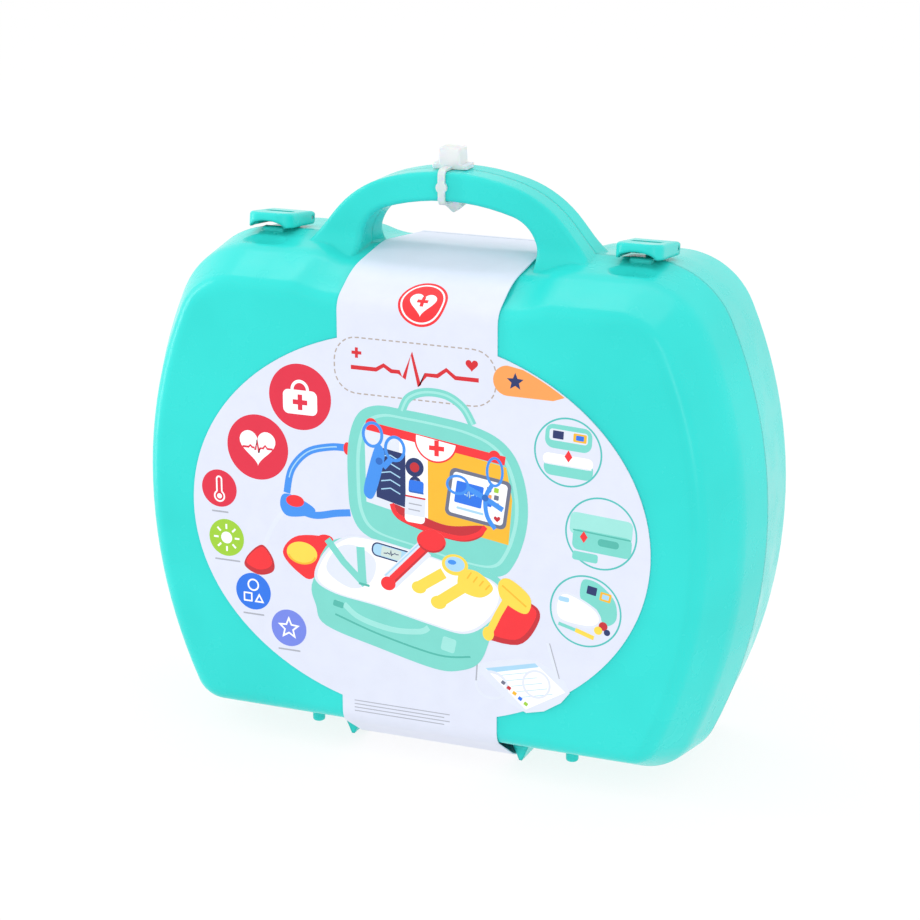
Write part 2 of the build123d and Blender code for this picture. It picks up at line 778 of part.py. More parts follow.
# Bottle, a blown body with a push-on cap, standing on the shelf
bottle_y = board_face - shelf_depth / 2
bottle_z = shelf_floor_z + shelf_wall
bottle_axis = Axis((bottle_x, bottle_y, 0), (0, 0, 1))
neck_z = bottle_z + bottle_height
with BuildPart() as bottle_body:
    with BuildSketch(depth_plane(bottle_y)):
        with BuildLine():
            Polyline((bottle_x, bottle_z), (bottle_x + bottle_radius - 1, bottle_z),
                     (bottle_x + bottle_radius, bottle_z + 1), (bottle_x + bottle_radius, neck_z - 5))
            RadiusArc((bottle_x + bottle_radius, neck_z - 5), (bottle_x + bottle_neck_radius, neck_z), -5.5)
            Polyline((bottle_x + bottle_neck_radius, neck_z),
                     (bottle_x + bottle_neck_radius, neck_z + bottle_neck_height),
                     (bottle_x, neck_z + bottle_neck_height), (bottle_x, bottle_z))
        make_face()
    revolve(axis=bottle_axis)
bottle_body.part.label = "bottle_body"
with BuildPart() as bottle_cap:
    cap_z = neck_z + cap_clearance
    with BuildSketch(Plane.XY.offset(cap_z)):
        with Locations((bottle_x, bottle_y)):
            Circle(cap_radius)
    extrude(amount=cap_height)
    fillet(bottle_cap.faces().sort_by(Axis.Z)[-1].edges(), 1.0)
    with BuildSketch(Plane.XY.offset(cap_z)):
        with Locations((bottle_x, bottle_y)):
            Circle(bottle_neck_radius + cap_clearance)
    extrude(amount=bottle_neck_height, mode=Mode.SUBTRACT)
bottle_cap.part.label = "bottle_cap"

# Ring-handled tools that hang from the pegs: scissors on the left and forceps on the right
ring_inner_top = ring_half_height - ring_wire
pivot_z = rail_z + peg_radius + lay_gap - ring_inner_top - ring_offset_z
pivot_x = peg_x - ring_offset_x
arm_back = board_face - arm_back_gap
second_arm_back = arm_back - arm_thickness - arm_layer_gap


def tool_arm(side, ring_side, back, jaw):
    """One arm of a ring-handled tool. side is -1 on the left peg, ring_side the side of its ring."""
    x = side * pivot_x
    ring = (x + ring_side * ring_offset_x, pivot_z + ring_offset_z)
    ring_foot = (x + ring_side * (ring_offset_x - 3), ring[1] - ring_half_height + ring_wire / 2)
    tip = (x - ring_side * 3, pivot_z - (blade_length if jaw == "blade" else jaw_length))
    with BuildPart() as arm:
        with BuildSketch(depth_plane(back)):
            with Locations(ring):
                Ellipse(ring_half_width, ring_half_height)
            bar(ring_foot, (x, pivot_z), arm_width)
            if jaw == "blade":
                with BuildLine():
                    Polyline((x - ring_side * 5, pivot_z + 3), (x + ring_side * 5, pivot_z + 3),
                             (tip[0] + ring_side * 4, tip[1]), (tip[0] - ring_side * 2, tip[1] + 3), close=True)
                make_face()
            else:
                bar((x, pivot_z), (x - ring_side * 6, pivot_z - jaw_length / 2), arm_width - 1)
                bar((x - ring_side * 6, pivot_z - jaw_length / 2), tip, arm_width - 2.5)
            with Locations(ring):
                Ellipse(ring_half_width - ring_wire, ring_half_height - ring_wire, mode=Mode.SUBTRACT)
            with Locations((x, pivot_z)):
                Circle(rivet_radius + pin_clearance, mode=Mode.SUBTRACT)
        extrude(amount=arm_thickness)
    return arm.part


with BuildPart() as scissors_fixed_arm:
    add(tool_arm(-1, -1, arm_back, "blade"))
scissors_fixed_arm.part.label = "scissors_fixed_arm"
with BuildPart() as scissors_moving_arm:
    add(tool_arm(-1, 1, second_arm_back, "blade"))
scissors_moving_arm.part.label = "scissors_moving_arm"
with BuildPart() as forceps_fixed_arm:
    add(tool_arm(1, 1, arm_back, "jaw"))
forceps_fixed_arm.part.label = "forceps_fixed_arm"
with BuildPart() as forceps_moving_arm:
    add(tool_arm(1, -1, second_arm_back, "jaw"))
forceps_moving_arm.part.label = "forceps_moving_arm"

with BuildPart() as tool_rivets:
    rivet_back = arm_back + lay_gap
    rivet_front = second_arm_back - arm_thickness - lay_gap
    for x in (-pivot_x, pivot_x):
        with BuildSketch(depth_plane(rivet_back + rivet_head_thickness)):
            with Locations((x, pivot_z)):
                Circle(rivet_head_radius)
        extrude(amount=rivet_head_thickness)
        with BuildSketch(depth_plane(rivet_back)):
            with Locations((x, pivot_z)):
                Circle(rivet_radius)
        extrude(amount=rivet_back - rivet_front)
        with BuildSketch(depth_plane(rivet_front)):
            with Locations((x, pivot_z)):
                Circle(rivet_head_radius)
        extrude(amount=rivet_head_thickness)
tool_rivets.part.label = "tool_rivets"

# Worktop with its moulded pockets
barrel_right = barrel_left + barrel_length
thumb_left = barrel_right + barrel_flange_thickness + plunger_out
syringe_pocket_depth = barrel_radius + 2 * pocket_gap
syringe_y = -worktop_face - syringe_pocket_depth + lay_gap + barrel_radius
fork_half_width = 12.0


def grip_outline(x, grow):
    """The plan of a hand tool's grip and neck at X, grown by a margin."""
    low = tool_bottom_z + tool_grip_width / 2
    bar((x, low), (x, low + tool_grip_length - tool_grip_width), tool_grip_width + 2 * grow)
    bar((x, low), (x, tool_top_z - mirror_radius), tool_neck_width + 2 * grow)


def pocket_plan(grow):
    """Plans of the worktop's pockets with their depths, grown by a margin."""
    with BuildSketch() as syringe:
        low_x = barrel_left - nozzle_length - pocket_gap - grow
        high_x = thumb_left + thumb_thickness + pocket_gap + grow
        with Locations(((low_x + high_x) / 2, syringe_z)):
            Rectangle(high_x - low_x, 2 * (barrel_radius + pocket_gap + grow))
        with Locations((barrel_right + barrel_flange_thickness / 2, syringe_z)):
            Rectangle(barrel_flange_thickness + 2 * (pocket_gap + grow), 2 * (barrel_flange_half + pocket_gap + grow))
    with BuildSketch() as hand_tools:
        grip_outline(mirror_x, pocket_gap + grow)
        with Locations((mirror_x, tool_top_z - mirror_radius)):
            Circle(mirror_radius + pocket_gap + grow)
        grip_outline(fork_x, pocket_gap + grow)
        with Locations((fork_x, tool_top_z - mirror_radius)):
            RectangleRounded(2 * (fork_half_width + pocket_gap + grow), 2 * (mirror_radius + pocket_gap + grow), 5)
    with BuildSketch() as bowl:
        with Locations((bowl_x, bowl_z)):
            RectangleRounded(2 * (bowl_half_width + grow), 2 * (bowl_half_height + grow), bowl_half_width - 4 + grow)
    with BuildSketch() as gauge:
        with Locations((gauge_x, gauge_z)):
            RectangleRounded(gauge_length + 2 * (pocket_gap + grow), gauge_height + 2 * (pocket_gap + grow), 5)
    return [
        (syringe.sketch, syringe_pocket_depth),
        (hand_tools.sketch, tool_pocket_depth),
        (bowl.sketch, bowl_depth),
        (gauge.sketch, gauge_thickness),
    ]


with BuildPart() as worktop:
    with BuildSketch(depth_plane(-worktop_face)):
        add(case_outline(wall + draft_inset * worktop_back / straight_depth + worktop_gap))
    extrude(amount=worktop_thickness)
    for plan, depth in pocket_plan(pocket_wall):
        with BuildSketch(depth_plane(-worktop_face)):
            add(plan)
        extrude(amount=depth + pocket_wall)
    for plan, depth in pocket_plan(0):
        with BuildSketch(depth_plane(-worktop_face)):
            add(plan)
        extrude(amount=depth, mode=Mode.SUBTRACT)
worktop.part.label = "worktop"

# Syringe: a clear barrel with finger wings, and the plunger that slides in it
syringe_axis = (syringe_y, syringe_z)
with BuildPart() as syringe_barrel:
    with BuildSketch(section(barrel_left)):
        with Locations(syringe_axis):
            Circle(barrel_radius)
    extrude(amount=barrel_length)
    with BuildSketch(section(barrel_left)):
        with Locations(syringe_axis):
            Circle(nozzle_radius)
    extrude(amount=-nozzle_length)
    with BuildSketch(section(barrel_right)):
        with Locations(syringe_axis):
            RectangleRounded(2 * barrel_radius, 2 * barrel_flange_half, 4)
    extrude(amount=barrel_flange_thickness)
    with BuildSketch(section(barrel_left + barrel_wall)):
        with Locations(syringe_axis):
            Circle(barrel_radius - barrel_wall)
    extrude(amount=barrel_length + barrel_flange_thickness, mode=Mode.SUBTRACT)
syringe_barrel.part.label = "syringe_barrel"
with BuildPart() as syringe_plunger:
    piston_left = barrel_left + barrel_wall + plunger_out
    with BuildSketch(section(piston_left)):
        with Locations(syringe_axis):
            Circle(barrel_radius - barrel_wall - piston_clearance)
    extrude(amount=piston_length)
    with BuildSketch(section(piston_left)):
        with Locations(syringe_axis):
            Rectangle(plunger_rod_width, plunger_rod_thickness)
            Rectangle(plunger_rod_thickness, plunger_rod_width)
    extrude(amount=thumb_left - piston_left)
    with BuildSketch(section(thumb_left)):
        with Locations(syringe_axis):
            Circle(thumb_radius)
    extrude(amount=thumb_thickness)
syringe_plunger.part.label = "syringe_plunger"

# Hand tools in their pockets
tool_floor = -worktop_face - tool_pocket_depth
with BuildPart() as dental_mirror:
    with BuildSketch(depth_plane(tool_floor + tool_thickness)):
        grip_outline(mirror_x, 0)
        with Locations((mirror_x, tool_top_z - mirror_radius)):
            Circle(mirror_radius)
    extrude(amount=tool_thickness)
    with BuildSketch(depth_plane(tool_floor + tool_thickness)):
        with Locations((mirror_x, tool_top_z - mirror_radius)):
            Circle(mirror_radius - mirror_rim)
    extrude(amount=mirror_rim, mode=Mode.SUBTRACT)
dental_mirror.part.label = "dental_mirror"
with BuildPart() as mirror_disc:
    with BuildSketch(depth_plane(tool_floor + tool_thickness - mirror_rim / 2)):
        with Locations((mirror_x, tool_top_z - mirror_radius)):
            Circle(mirror_radius - mirror_rim - pin_clearance)
    extrude(amount=mirror_rim / 2)
mirror_disc.part.label = "mirror_disc"
with BuildPart() as fork_tool:
    tine_count = 4
    tine_pitch = 2 * fork_half_width / tine_count
    with BuildSketch(depth_plane(tool_floor + tool_thickness)):
        grip_outline(fork_x, 0)
        with Locations((fork_x, tool_top_z - mirror_radius)):
            RectangleRounded(2 * fork_half_width, 2 * mirror_radius, 4)
        with Locations((fork_x, tool_top_z)):
            with GridLocations(tine_pitch, 0, tine_count - 1, 1):
                SlotOverall(2.6 * mirror_radius, tine_pitch / 3, rotation=90, mode=Mode.SUBTRACT)
    extrude(amount=tool_thickness)
fork_tool.part.label = "fork_tool"
with BuildPart() as tweezers:
    bowl_floor = -worktop_face - bowl_depth
    heel = (bowl_x, bowl_z - tweezer_length / 2)
    with BuildSketch(depth_plane(bowl_floor + tweezer_thickness)):
        for sign in (-1, 1):
            bar(heel, (bowl_x + sign * tweezer_spread, bowl_z + tweezer_length / 2), tweezer_width)
    extrude(amount=tweezer_thickness)
tweezers.part.label = "tweezers"
with BuildPart() as fever_gauge:
    with BuildSketch(depth_plane(-worktop_face)):
        with Locations((gauge_x, gauge_z)):
            RectangleRounded(gauge_length, gauge_height, 5)
    extrude(amount=gauge_thickness)
fever_gauge.part.label = "fever_gauge"


# Things stored under the worktop
def side_tray(side):
    """A side tray that lies on the inside of the front face, open to the back, with its two plug-in tabs."""
    middle = (side * (tray_inner_x + tray_outer_x) / 2, (tray_low_z + tray_high_z) / 2)
    width = tray_outer_x - tray_inner_x
    height = tray_high_z - tray_low_z
    with BuildPart() as tray:
        with BuildSketch(depth_plane(-tray_rim)):
            with Locations(middle):
                RectangleRounded(width, height, tray_corner_radius)
        extrude(amount=tray_depth)
        with BuildSketch(depth_plane(-tray_rim)):
            with Locations(middle):
                RectangleRounded(width - 2 * tray_wall, height - 2 * tray_wall, tray_corner_radius - tray_wall)
        extrude(amount=tray_depth - tray_wall, mode=Mode.SUBTRACT)
        with BuildSketch(depth_plane(-tray_rim)):
            with Locations([(side * (tray_outer_x + tray_tab_length / 2 - tray_wall / 2), middle[1] + z)
                            for z in (-tray_tab_z, tray_tab_z)]):
                Rectangle(tray_tab_length + tray_wall, tray_tab_width)
        extrude(amount=tray_wall)
    return tray.part


with BuildPart() as side_tray_left:
    add(side_tray(-1))
side_tray_left.part.label = "side_tray_left"
with BuildPart() as side_tray_right:
    add(side_tray(1))
side_tray_right.part.label = "side_tray_right"

with BuildPart() as chart_card:
    with BuildSketch(depth_plane(-inner_face + chart_thickness)):
        with Locations((0, (chart_low_z + chart_high_z) / 2)):
            RectangleRounded(2 * chart_half_width, chart_high_z - chart_low_z, 4)
    extrude(amount=chart_thickness)
chart_card.part.label = "chart_card"

with BuildPart() as hammer:
    hammer_floor = -inner_face + chart_thickness
    grip_low = hammer_low_z + hammer_grip_width / 2
    head_z = hammer_low_z + hammer_length + hammer_head_height / 2
    with BuildSketch(depth_plane(hammer_floor + hammer_thickness)):
        bar((hammer_x, grip_low), (hammer_x, grip_low + hammer_length / 2), hammer_grip_width)
        bar((hammer_x, grip_low), (hammer_x, head_z), hammer_neck_width)
    extrude(amount=hammer_thickness)
    with BuildSketch(depth_plane(hammer_floor + hammer_head_thickness)):
        with Locations((hammer_x, head_z)):
            RectangleRounded(hammer_head_length, hammer_head_height, 4)
    extrude(amount=hammer_head_thickness)
hammer.part.label = "hammer"

with BuildPart() as round_box:
    box_floor = -inner_face + tray_wall
    box_x = -(tray_inner_x + tray_outer_x) / 2
    box_z = (tray_low_z + tray_high_z) / 2
    with BuildSketch(depth_plane(box_floor + round_box_height)):
        with Locations((box_x, box_z)):
            Circle(round_box_radius)
    extrude(amount=round_box_height)
    fillet(round_box.faces().sort_by(Axis.Y)[-1].edges(), round_box_height / 2)
round_box.part.label = "round_box"

with BuildPart() as spectacles:
    rim_floor = -inner_face + chart_thickness
    with BuildSketch(depth_plane(rim_floor + rim_thickness)):
        with Locations((-rim_pitch, rim_z), (rim_pitch, rim_z)):
            Circle(rim_radius)
        bar((-rim_pitch, rim_z + rim_radius / 3), (rim_pitch, rim_z + rim_radius / 3), rim_wire)
        with Locations((-rim_pitch, rim_z), (rim_pitch, rim_z)):
            Circle(rim_radius - rim_wire, mode=Mode.SUBTRACT)
    extrude(amount=rim_thickness)
spectacles.part.label = "spectacles"
with BuildPart() as spectacle_temples:
    temple_hinge_x = rim_pitch + rim_radius
    for layer, side in enumerate((-1, 1)):
        temple_floor = rim_floor + rim_thickness + lay_gap + layer * (temple_thickness + lay_gap)
        with BuildSketch(depth_plane(temple_floor + temple_thickness)):
            bar((side * temple_hinge_x, rim_z), (side * (temple_hinge_x - temple_length), rim_z), temple_width)
        extrude(amount=temple_thickness)
spectacle_temples.part.label = "spectacle_temples"

with BuildPart() as stay_plates:
    with BuildSketch(depth_plane(-inner_face + stay_plate_thickness)):
        with Locations((-stay_plate_x, stay_plate_z), (stay_plate_x, stay_plate_z)):
            RectangleRounded(stay_plate_length, stay_plate_height, 3)
    extrude(amount=stay_plate_thickness)
stay_plates.part.label = "stay_plates"

# Stethoscope: headset, ear tips, flexible tube and chest piece
block_low_z = tube_points[0][1]
with BuildPart() as headset:
    for side in (-1, 1):
        arm_route = [(side * x, headset_y, z) for x, z in headset_points]
        with BuildLine() as arm_line:
            FilletPolyline(*arm_route, radius=headset_bend_radius)
        with BuildSketch(Plane(arm_route[0], z_dir=Vector(*arm_route[1]) - Vector(*arm_route[0]))):
            Circle(headset_radius)
        sweep(path=arm_line.line)
    with BuildSketch(depth_plane(headset_y + headset_radius)):
        with Locations((0, block_low_z + headset_block_height / 2)):
            RectangleRounded(headset_block_width, headset_block_height, 5)
    extrude(amount=2 * headset_radius)
headset.part.label = "headset"
with BuildPart() as ear_tips:
    tip_run = Vector(*headset_points[-1]) - Vector(*headset_points[-2])
    tip_offset = tip_run.normalized() * (ear_tip_radius + lay_gap)
    with Locations([(side * (headset_points[-1][0] + tip_offset.X), headset_y, headset_points[-1][1] + tip_offset.Y)
                    for side in (-1, 1)]):
        Sphere(ear_tip_radius)
ear_tips.part.label = "ear_tips"

tube_y = -(tray_rim - lay_gap - tube_radius)
tube_route = [Vector(x, tube_y, z) for x, z in tube_points]
tube_radii = []
for before, corner, after in zip(tube_route, tube_route[1:], tube_route[2:]):
    half_turn = radians((corner - before).get_angle(after - corner) / 2)
    shorter_run = min((corner - before).length, (after - corner).length)
    tube_radii.append(tube_bend_share * shorter_run / (sin(half_turn) / cos(half_turn)))
print("tube bend radii", [round(radius, 1) for radius in tube_radii])
with BuildPart() as steth_tube:
    with BuildLine() as tube_line:
        FilletPolyline(*tube_route, radius=tube_radii)
    with BuildSketch(Plane(tube_route[0], z_dir=tube_route[1] - tube_route[0])):
        Circle(tube_radius)
    sweep(path=tube_line.line)
tube_length = sum(edge.length for edge in tube_line.edges())
tube_section = steth_tube.part.volume / tube_length
print("tube length", round(tube_length, 1), "section", round(tube_section, 3))
steth_tube.part.label = "steth_tube"

with BuildPart() as chest_piece:
    chest_floor = -tray_rim + lay_gap
    with BuildSketch(depth_plane(chest_floor + chest_thickness)):
        with Locations((chest_x, chest_z)):
            Circle(chest_radius)
    extrude(amount=chest_thickness)
    fillet(chest_piece.faces().sort_by(Axis.Y)[-1].edges(), chest_thickness / 3)
    stem_low_z = tube_points[-1][1] + tube_end_gap
    with BuildSketch(Plane.XY.offset(stem_low_z)):
        with Locations((chest_x, tube_y)):
            Circle(chest_stem_radius)
    extrude(amount=chest_z - chest_radius / 2 - stem_low_z)
chest_piece.part.label = "chest_piece"

pieces = [
    front_shell, rear_shell, hinge_pins, latch_left, latch_right, latch_pin_left, latch_pin_right,
    sleeve_front, sleeve_back, tie_strap_front, tie_strap_rear, tie_head,
    backboard, hook_rail, badge, badge_plus, shelf_tray, bottle_body, bottle_cap,
    scissors_fixed_arm, scissors_moving_arm, forceps_fixed_arm, forceps_moving_arm, tool_rivets,
    worktop, syringe_barrel, syringe_plunger, dental_mirror, mirror_disc, fork_tool, tweezers, fever_gauge,
    side_tray_left, side_tray_right, chart_card, hammer, round_box, spectacles, spectacle_temples, stay_plates,
    headset, ear_tips, steth_tube, chest_piece,
]
for piece in pieces:
    export_step(piece.part, f"parts/{piece.part.label}.step")
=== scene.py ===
# %% [markdown]
# # A toy medical carry case
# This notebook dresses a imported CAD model. Nothing here moves a node: we add finishes, printed card, a camera and
# light.

# %% Load the frame
import json
import math

import bmesh
import bpy
from mathutils import Matrix, Vector


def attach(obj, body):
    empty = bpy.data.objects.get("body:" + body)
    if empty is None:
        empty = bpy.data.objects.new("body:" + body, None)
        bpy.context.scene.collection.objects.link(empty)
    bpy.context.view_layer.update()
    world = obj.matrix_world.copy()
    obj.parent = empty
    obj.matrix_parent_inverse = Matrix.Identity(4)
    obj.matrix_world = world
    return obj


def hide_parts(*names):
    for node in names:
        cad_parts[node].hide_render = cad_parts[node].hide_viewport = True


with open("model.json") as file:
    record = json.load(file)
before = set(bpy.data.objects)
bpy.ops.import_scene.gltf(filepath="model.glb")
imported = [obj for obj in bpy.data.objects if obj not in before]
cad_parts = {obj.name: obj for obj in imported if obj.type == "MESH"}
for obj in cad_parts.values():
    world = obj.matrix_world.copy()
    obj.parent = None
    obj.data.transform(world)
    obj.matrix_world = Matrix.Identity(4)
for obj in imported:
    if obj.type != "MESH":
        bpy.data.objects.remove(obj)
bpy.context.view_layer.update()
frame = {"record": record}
MM = 0.001

# %% [markdown]
# ## Camera
# The photograph was taken from a little above and to the right with a long lens. A camera is easiest to repeat when it
# is given as a point to stand on and a turn: how far round, how far down, and how much it is tilted.

# %% Camera
CAMERA_AT = (389.08, -937.03, 427.27)
AZIMUTH, ELEVATION, TILT = 22.513, 17.025, 0.107
LENS = 101.716

camera_data = bpy.data.cameras.new("photo_camera")
camera_data.sensor_width = 36.0
camera_data.lens = LENS
camera_data.clip_start = 0.05
camera_data.clip_end = 20.0
camera = bpy.data.objects.new("photo_camera", camera_data)
bpy.context.collection.objects.link(camera)
turn = Matrix.Rotation(math.radians(AZIMUTH), 4, "Z") @ Matrix.Rotation(math.radians(90 - ELEVATION), 4, "X")
camera.matrix_world = Matrix.Translation(Vector(CAMERA_AT) * MM) @ turn @ Matrix.Rotation(math.radians(-TILT), 4, "Z")
bpy.context.scene.camera = camera
print("camera at", [round(v, 3) for v in camera.matrix_world.translation])

# %% [markdown]
# ## The stethoscope's tube
# On the real toy this is a short, limp vinyl tube from the headset's block to the chest piece. It could be a swept
# mesh, but a NURBS curve is smoother: it takes the route's points as control points and rounds every corner by itself.

# %% Tube
TUBE_ROUTE = [(0, 56.5), (0, 40), (10, 26), (26, 18), (46, 16.8), (68, 18.5), (84, 25), (93.5, 40.5), (94.6, 59),
              (94, 77)]
TUBE_Y, TUBE_DIAMETER, TUBE_LENGTH = -27.1, 5.0, 0.164

tube_curve = bpy.data.curves.new("stethoscope_tube", "CURVE")
tube_curve.dimensions = "3D"
spline = tube_curve.splines.new("NURBS")
spline.points.add(len(TUBE_ROUTE) - 1)
for point, (x, z) in zip(spline.points, TUBE_ROUTE):
    point.co = (x * MM, TUBE_Y * MM, z * MM, 1)
    point.radius = TUBE_DIAMETER / 2 * MM
spline.order_u = 3
spline.use_endpoint_u = True
spline.resolution_u = 12
tube_curve.bevel_depth = 1.0
tube_curve.bevel_resolution = 6
tube = bpy.data.objects.new("stethoscope_tube", tube_curve)
bpy.context.collection.objects.link(tube)
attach(tube, "front_half")
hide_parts("steth_tube")
print("tube follows", len(TUBE_ROUTE), "points")

# %% [markdown]
# ## Light and floor
# A pack shot on white has light from everywhere and a few large soft lamps. A white world gives the first. One big
# area lamp up on the left shapes the case, and narrow strips to the left, to the right and overhead draw the bright
# lines along its rounded edges. The floor is a sheet of frosted acrylic on the white: most light comes through it, so
# the shadow stays faint.

# %% Light
world = bpy.data.worlds.new("studio_white")
world.use_nodes = True
world.node_tree.nodes["Background"].inputs["Color"].default_value = (1, 1, 1, 1)
world.node_tree.nodes["Background"].inputs["Strength"].default_value = 1.0
bpy.context.scene.world = world
bpy.context.scene.view_settings.view_transform = "Standard"


def softbox(name, spot, aim, wide, high, watts):
    """A rectangular area lamp at a spot, aimed at a point, both in metres."""
    lamp = bpy.data.lights.new(name, "AREA")
    lamp.shape = "RECTANGLE"
    lamp.size, lamp.size_y, lamp.energy = wide, high, watts
    made = bpy.data.objects.new(name, lamp)
    bpy.context.collection.objects.link(made)
    away = (Vector(aim) - Vector(spot)).to_track_quat("-Z", "Y").to_matrix().to_4x4()
    made.matrix_world = Matrix.Translation(spot) @ away


softbox("key_softbox", (-0.55, -0.95, 1.05), (0, 0, 0.1), 0.9, 0.9, 0.7)
softbox("left_strip", (-1.15, -0.25, 0.35), (0, 0, 0.12), 0.25, 1.3, 6.0)
softbox("right_strip", (0.95, -0.75, 0.45), (0.05, 0, 0.14), 0.1, 1.0, 2.5)
softbox("top_strip", (0.0, 0.35, 1.1), (0, 0, 0.2), 1.3, 0.12, 1.6)

FLOOR_REACH, FLOOR_ALPHA = 5.0, 0.16

floor_mesh = bpy.data.meshes.new("floor")
floor_mesh.from_pydata([(x * FLOOR_REACH, y * FLOOR_REACH, 0) for x, y in ((-1, -1), (1, -1), (1, 1), (-1, 1))], [],
                       [(0, 1, 2, 3)])
acrylic = bpy.data.materials.new("frosted_acrylic")
acrylic.use_nodes = True
sheet = acrylic.node_tree
frost = sheet.nodes["Principled BSDF"]
frost.inputs["Base Color"].default_value = (1, 1, 1, 1)
frost.inputs["Roughness"].default_value = 0.9
frost.inputs["Specular IOR Level"].default_value = 0.0
frost.inputs["Alpha"].default_value = FLOOR_ALPHA
floor_mesh.materials.append(acrylic)
floor = bpy.data.objects.new("floor", floor_mesh)
bpy.context.collection.objects.link(floor)

# %% [markdown]
# ## Finishes
# Colours are written as sRGB hex values, as a paint chart gives them, and a shader needs them linear. One small
# function adds a node with its settings and links, so each finish below stays short.

# %% Helpers for colours and nodes
def linear(hex_colour):
    """An sRGB hex colour as linear RGBA."""
    parts = [int(hex_colour[i:i + 2], 16) / 255 for i in (1, 3, 5)]
    return [p / 12.92 if p <= 0.04045 else ((p + 0.055) / 1.055) ** 2.4 for p in parts] + [1.0]


def add(tree, kind, inputs=None, **settings):
    """Adds one node to a tree: its settings by name, its inputs as values or links."""
    made = tree.nodes.new(kind)
    for key_name, value in settings.items():
        setattr(made, key_name, value)
    for socket, value in (inputs or {}).items():
        if isinstance(value, bpy.types.NodeSocket):
            tree.links.new(value, made.inputs[socket])
        else:
            made.inputs[socket].default_value = value
    return made


# Most of a noise's values lie between these two.
NOISE_LOW, NOISE_HIGH = 0.35, 0.65


def per_metre(size_mm):
    """The noise scale whose features are about size_mm across, on coordinates in metres."""
    return 1 / (size_mm * MM)


def start(name):
    """A new material with its node tree, its shader and the object's own coordinates."""
    material = bpy.data.materials.new(name)
    material.use_nodes = True
    tree = material.node_tree
    return material, tree, tree.nodes["Principled BSDF"], add(tree, "ShaderNodeTexCoord").outputs["Object"]


print("a mid grey is", round(linear("#808080")[0], 3), "in linear light")

# %% [markdown]
# ## Moulded plastic
# Most of the toy is injection-moulded polypropylene or polystyrene. The eye reads three things: a faint cloudiness
# where the colour flowed, a satin skin from the spark-eroded mould, and gloss that changes a little with handling.
# Three noises do this. The skin's real grain is about 0.1 mm, and it is drawn 0.7 mm coarse so that it shows. A mould
# has no sharp edges, so a Bevel node rounds the shading of every edge, as a mould maker's small radius does.

# %% Moulded plastic
FLOW_MM, HANDLING_MM, SKIN_MM = 55.0, 14.0, 0.7


def moulded(name, colour, roughness=0.34, ior=1.49, cloud=0.035, skin=0.004, specular=0.42, edge=0.5):
    """Injection-moulded plastic: flow clouds in the colour, a satin skin and handled gloss."""
    material, tree, shader, place = start(name)
    flow = add(tree, "ShaderNodeTexNoise", {"Vector": place, "Scale": per_metre(FLOW_MM), "Detail": 3.0})
    lighter = [min(1.0, c * (1 + cloud) + cloud / 12) for c in linear(colour)[:3]] + [1.0]
    darker = [c * (1 - cloud) for c in linear(colour)[:3]] + [1.0]
    blend = add(tree, "ShaderNodeValToRGB", {"Fac": flow.outputs["Fac"]})
    blend.color_ramp.elements[0].position, blend.color_ramp.elements[1].position = NOISE_LOW, NOISE_HIGH
    blend.color_ramp.elements[0].color, blend.color_ramp.elements[1].color = darker, lighter
    tree.links.new(blend.outputs["Color"], shader.inputs["Base Color"])
    handled = add(tree, "ShaderNodeTexNoise", {"Vector": place, "Scale": per_metre(HANDLING_MM), "Detail": 5.0})
    gloss = add(tree, "ShaderNodeMapRange", {
        "Value": handled.outputs["Fac"], "From Min": NOISE_LOW, "From Max": NOISE_HIGH,
        "To Min": roughness - 0.05, "To Max": roughness + 0.06})
    tree.links.new(gloss.outputs["Result"], shader.inputs["Roughness"])
    grain = add(tree, "ShaderNodeTexNoise", {"Vector": place, "Scale": per_metre(SKIN_MM), "Detail": 2.0})
    rounded = add(tree, "ShaderNodeBevel", {"Radius": edge * MM}, samples=6)
    bump = add(tree, "ShaderNodeBump", {"Height": grain.outputs["Fac"], "Strength": 0.35, "Distance": skin * MM,
                                        "Normal": rounded.outputs["Normal"]})
    tree.links.new(bump.outputs["Normal"], shader.inputs["Normal"])
    shader.inputs["IOR"].default_value = ior
    shader.inputs["Specular IOR Level"].default_value = specular
    return material


finish = {
    "teal_plastic": moulded("moulded_polypropylene_teal", "#30D4CD", roughness=0.24, specular=0.2, edge=2.0),
    "red_plastic": moulded("moulded_polystyrene_red", "#D9161C", roughness=0.28, ior=1.55),
    "white_plastic": moulded("moulded_polypropylene_white", "#E9ECF2"),
    "blue_plastic": moulded("moulded_polystyrene_blue", "#1160D6", roughness=0.28, ior=1.55),
    "yellow_plastic": moulded("moulded_polystyrene_yellow", "#F7B51A", roughness=0.28, ior=1.55),
}
print("moulded finishes", len(finish))

# %% [markdown]
# ## Card, clear parts, foil, vinyl and steel
# The sleeve is white clay-coated board: smooth, slightly varnished and never quite flat. The barrel is clear
# polystyrene, the tie a cloudy flexible polyethylene, the mirror a silvered foil, the tube a soft vinyl and the pins
# drawn steel wire, whose scratches run along them.

# %% Coated card
FIBRE_MM, MOTTLE_MM, WAVE_MM = 1.2, 9.0, 38.0
FIBRE_HIGH_MM, WAVE_HIGH_MM = 0.01, 0.6


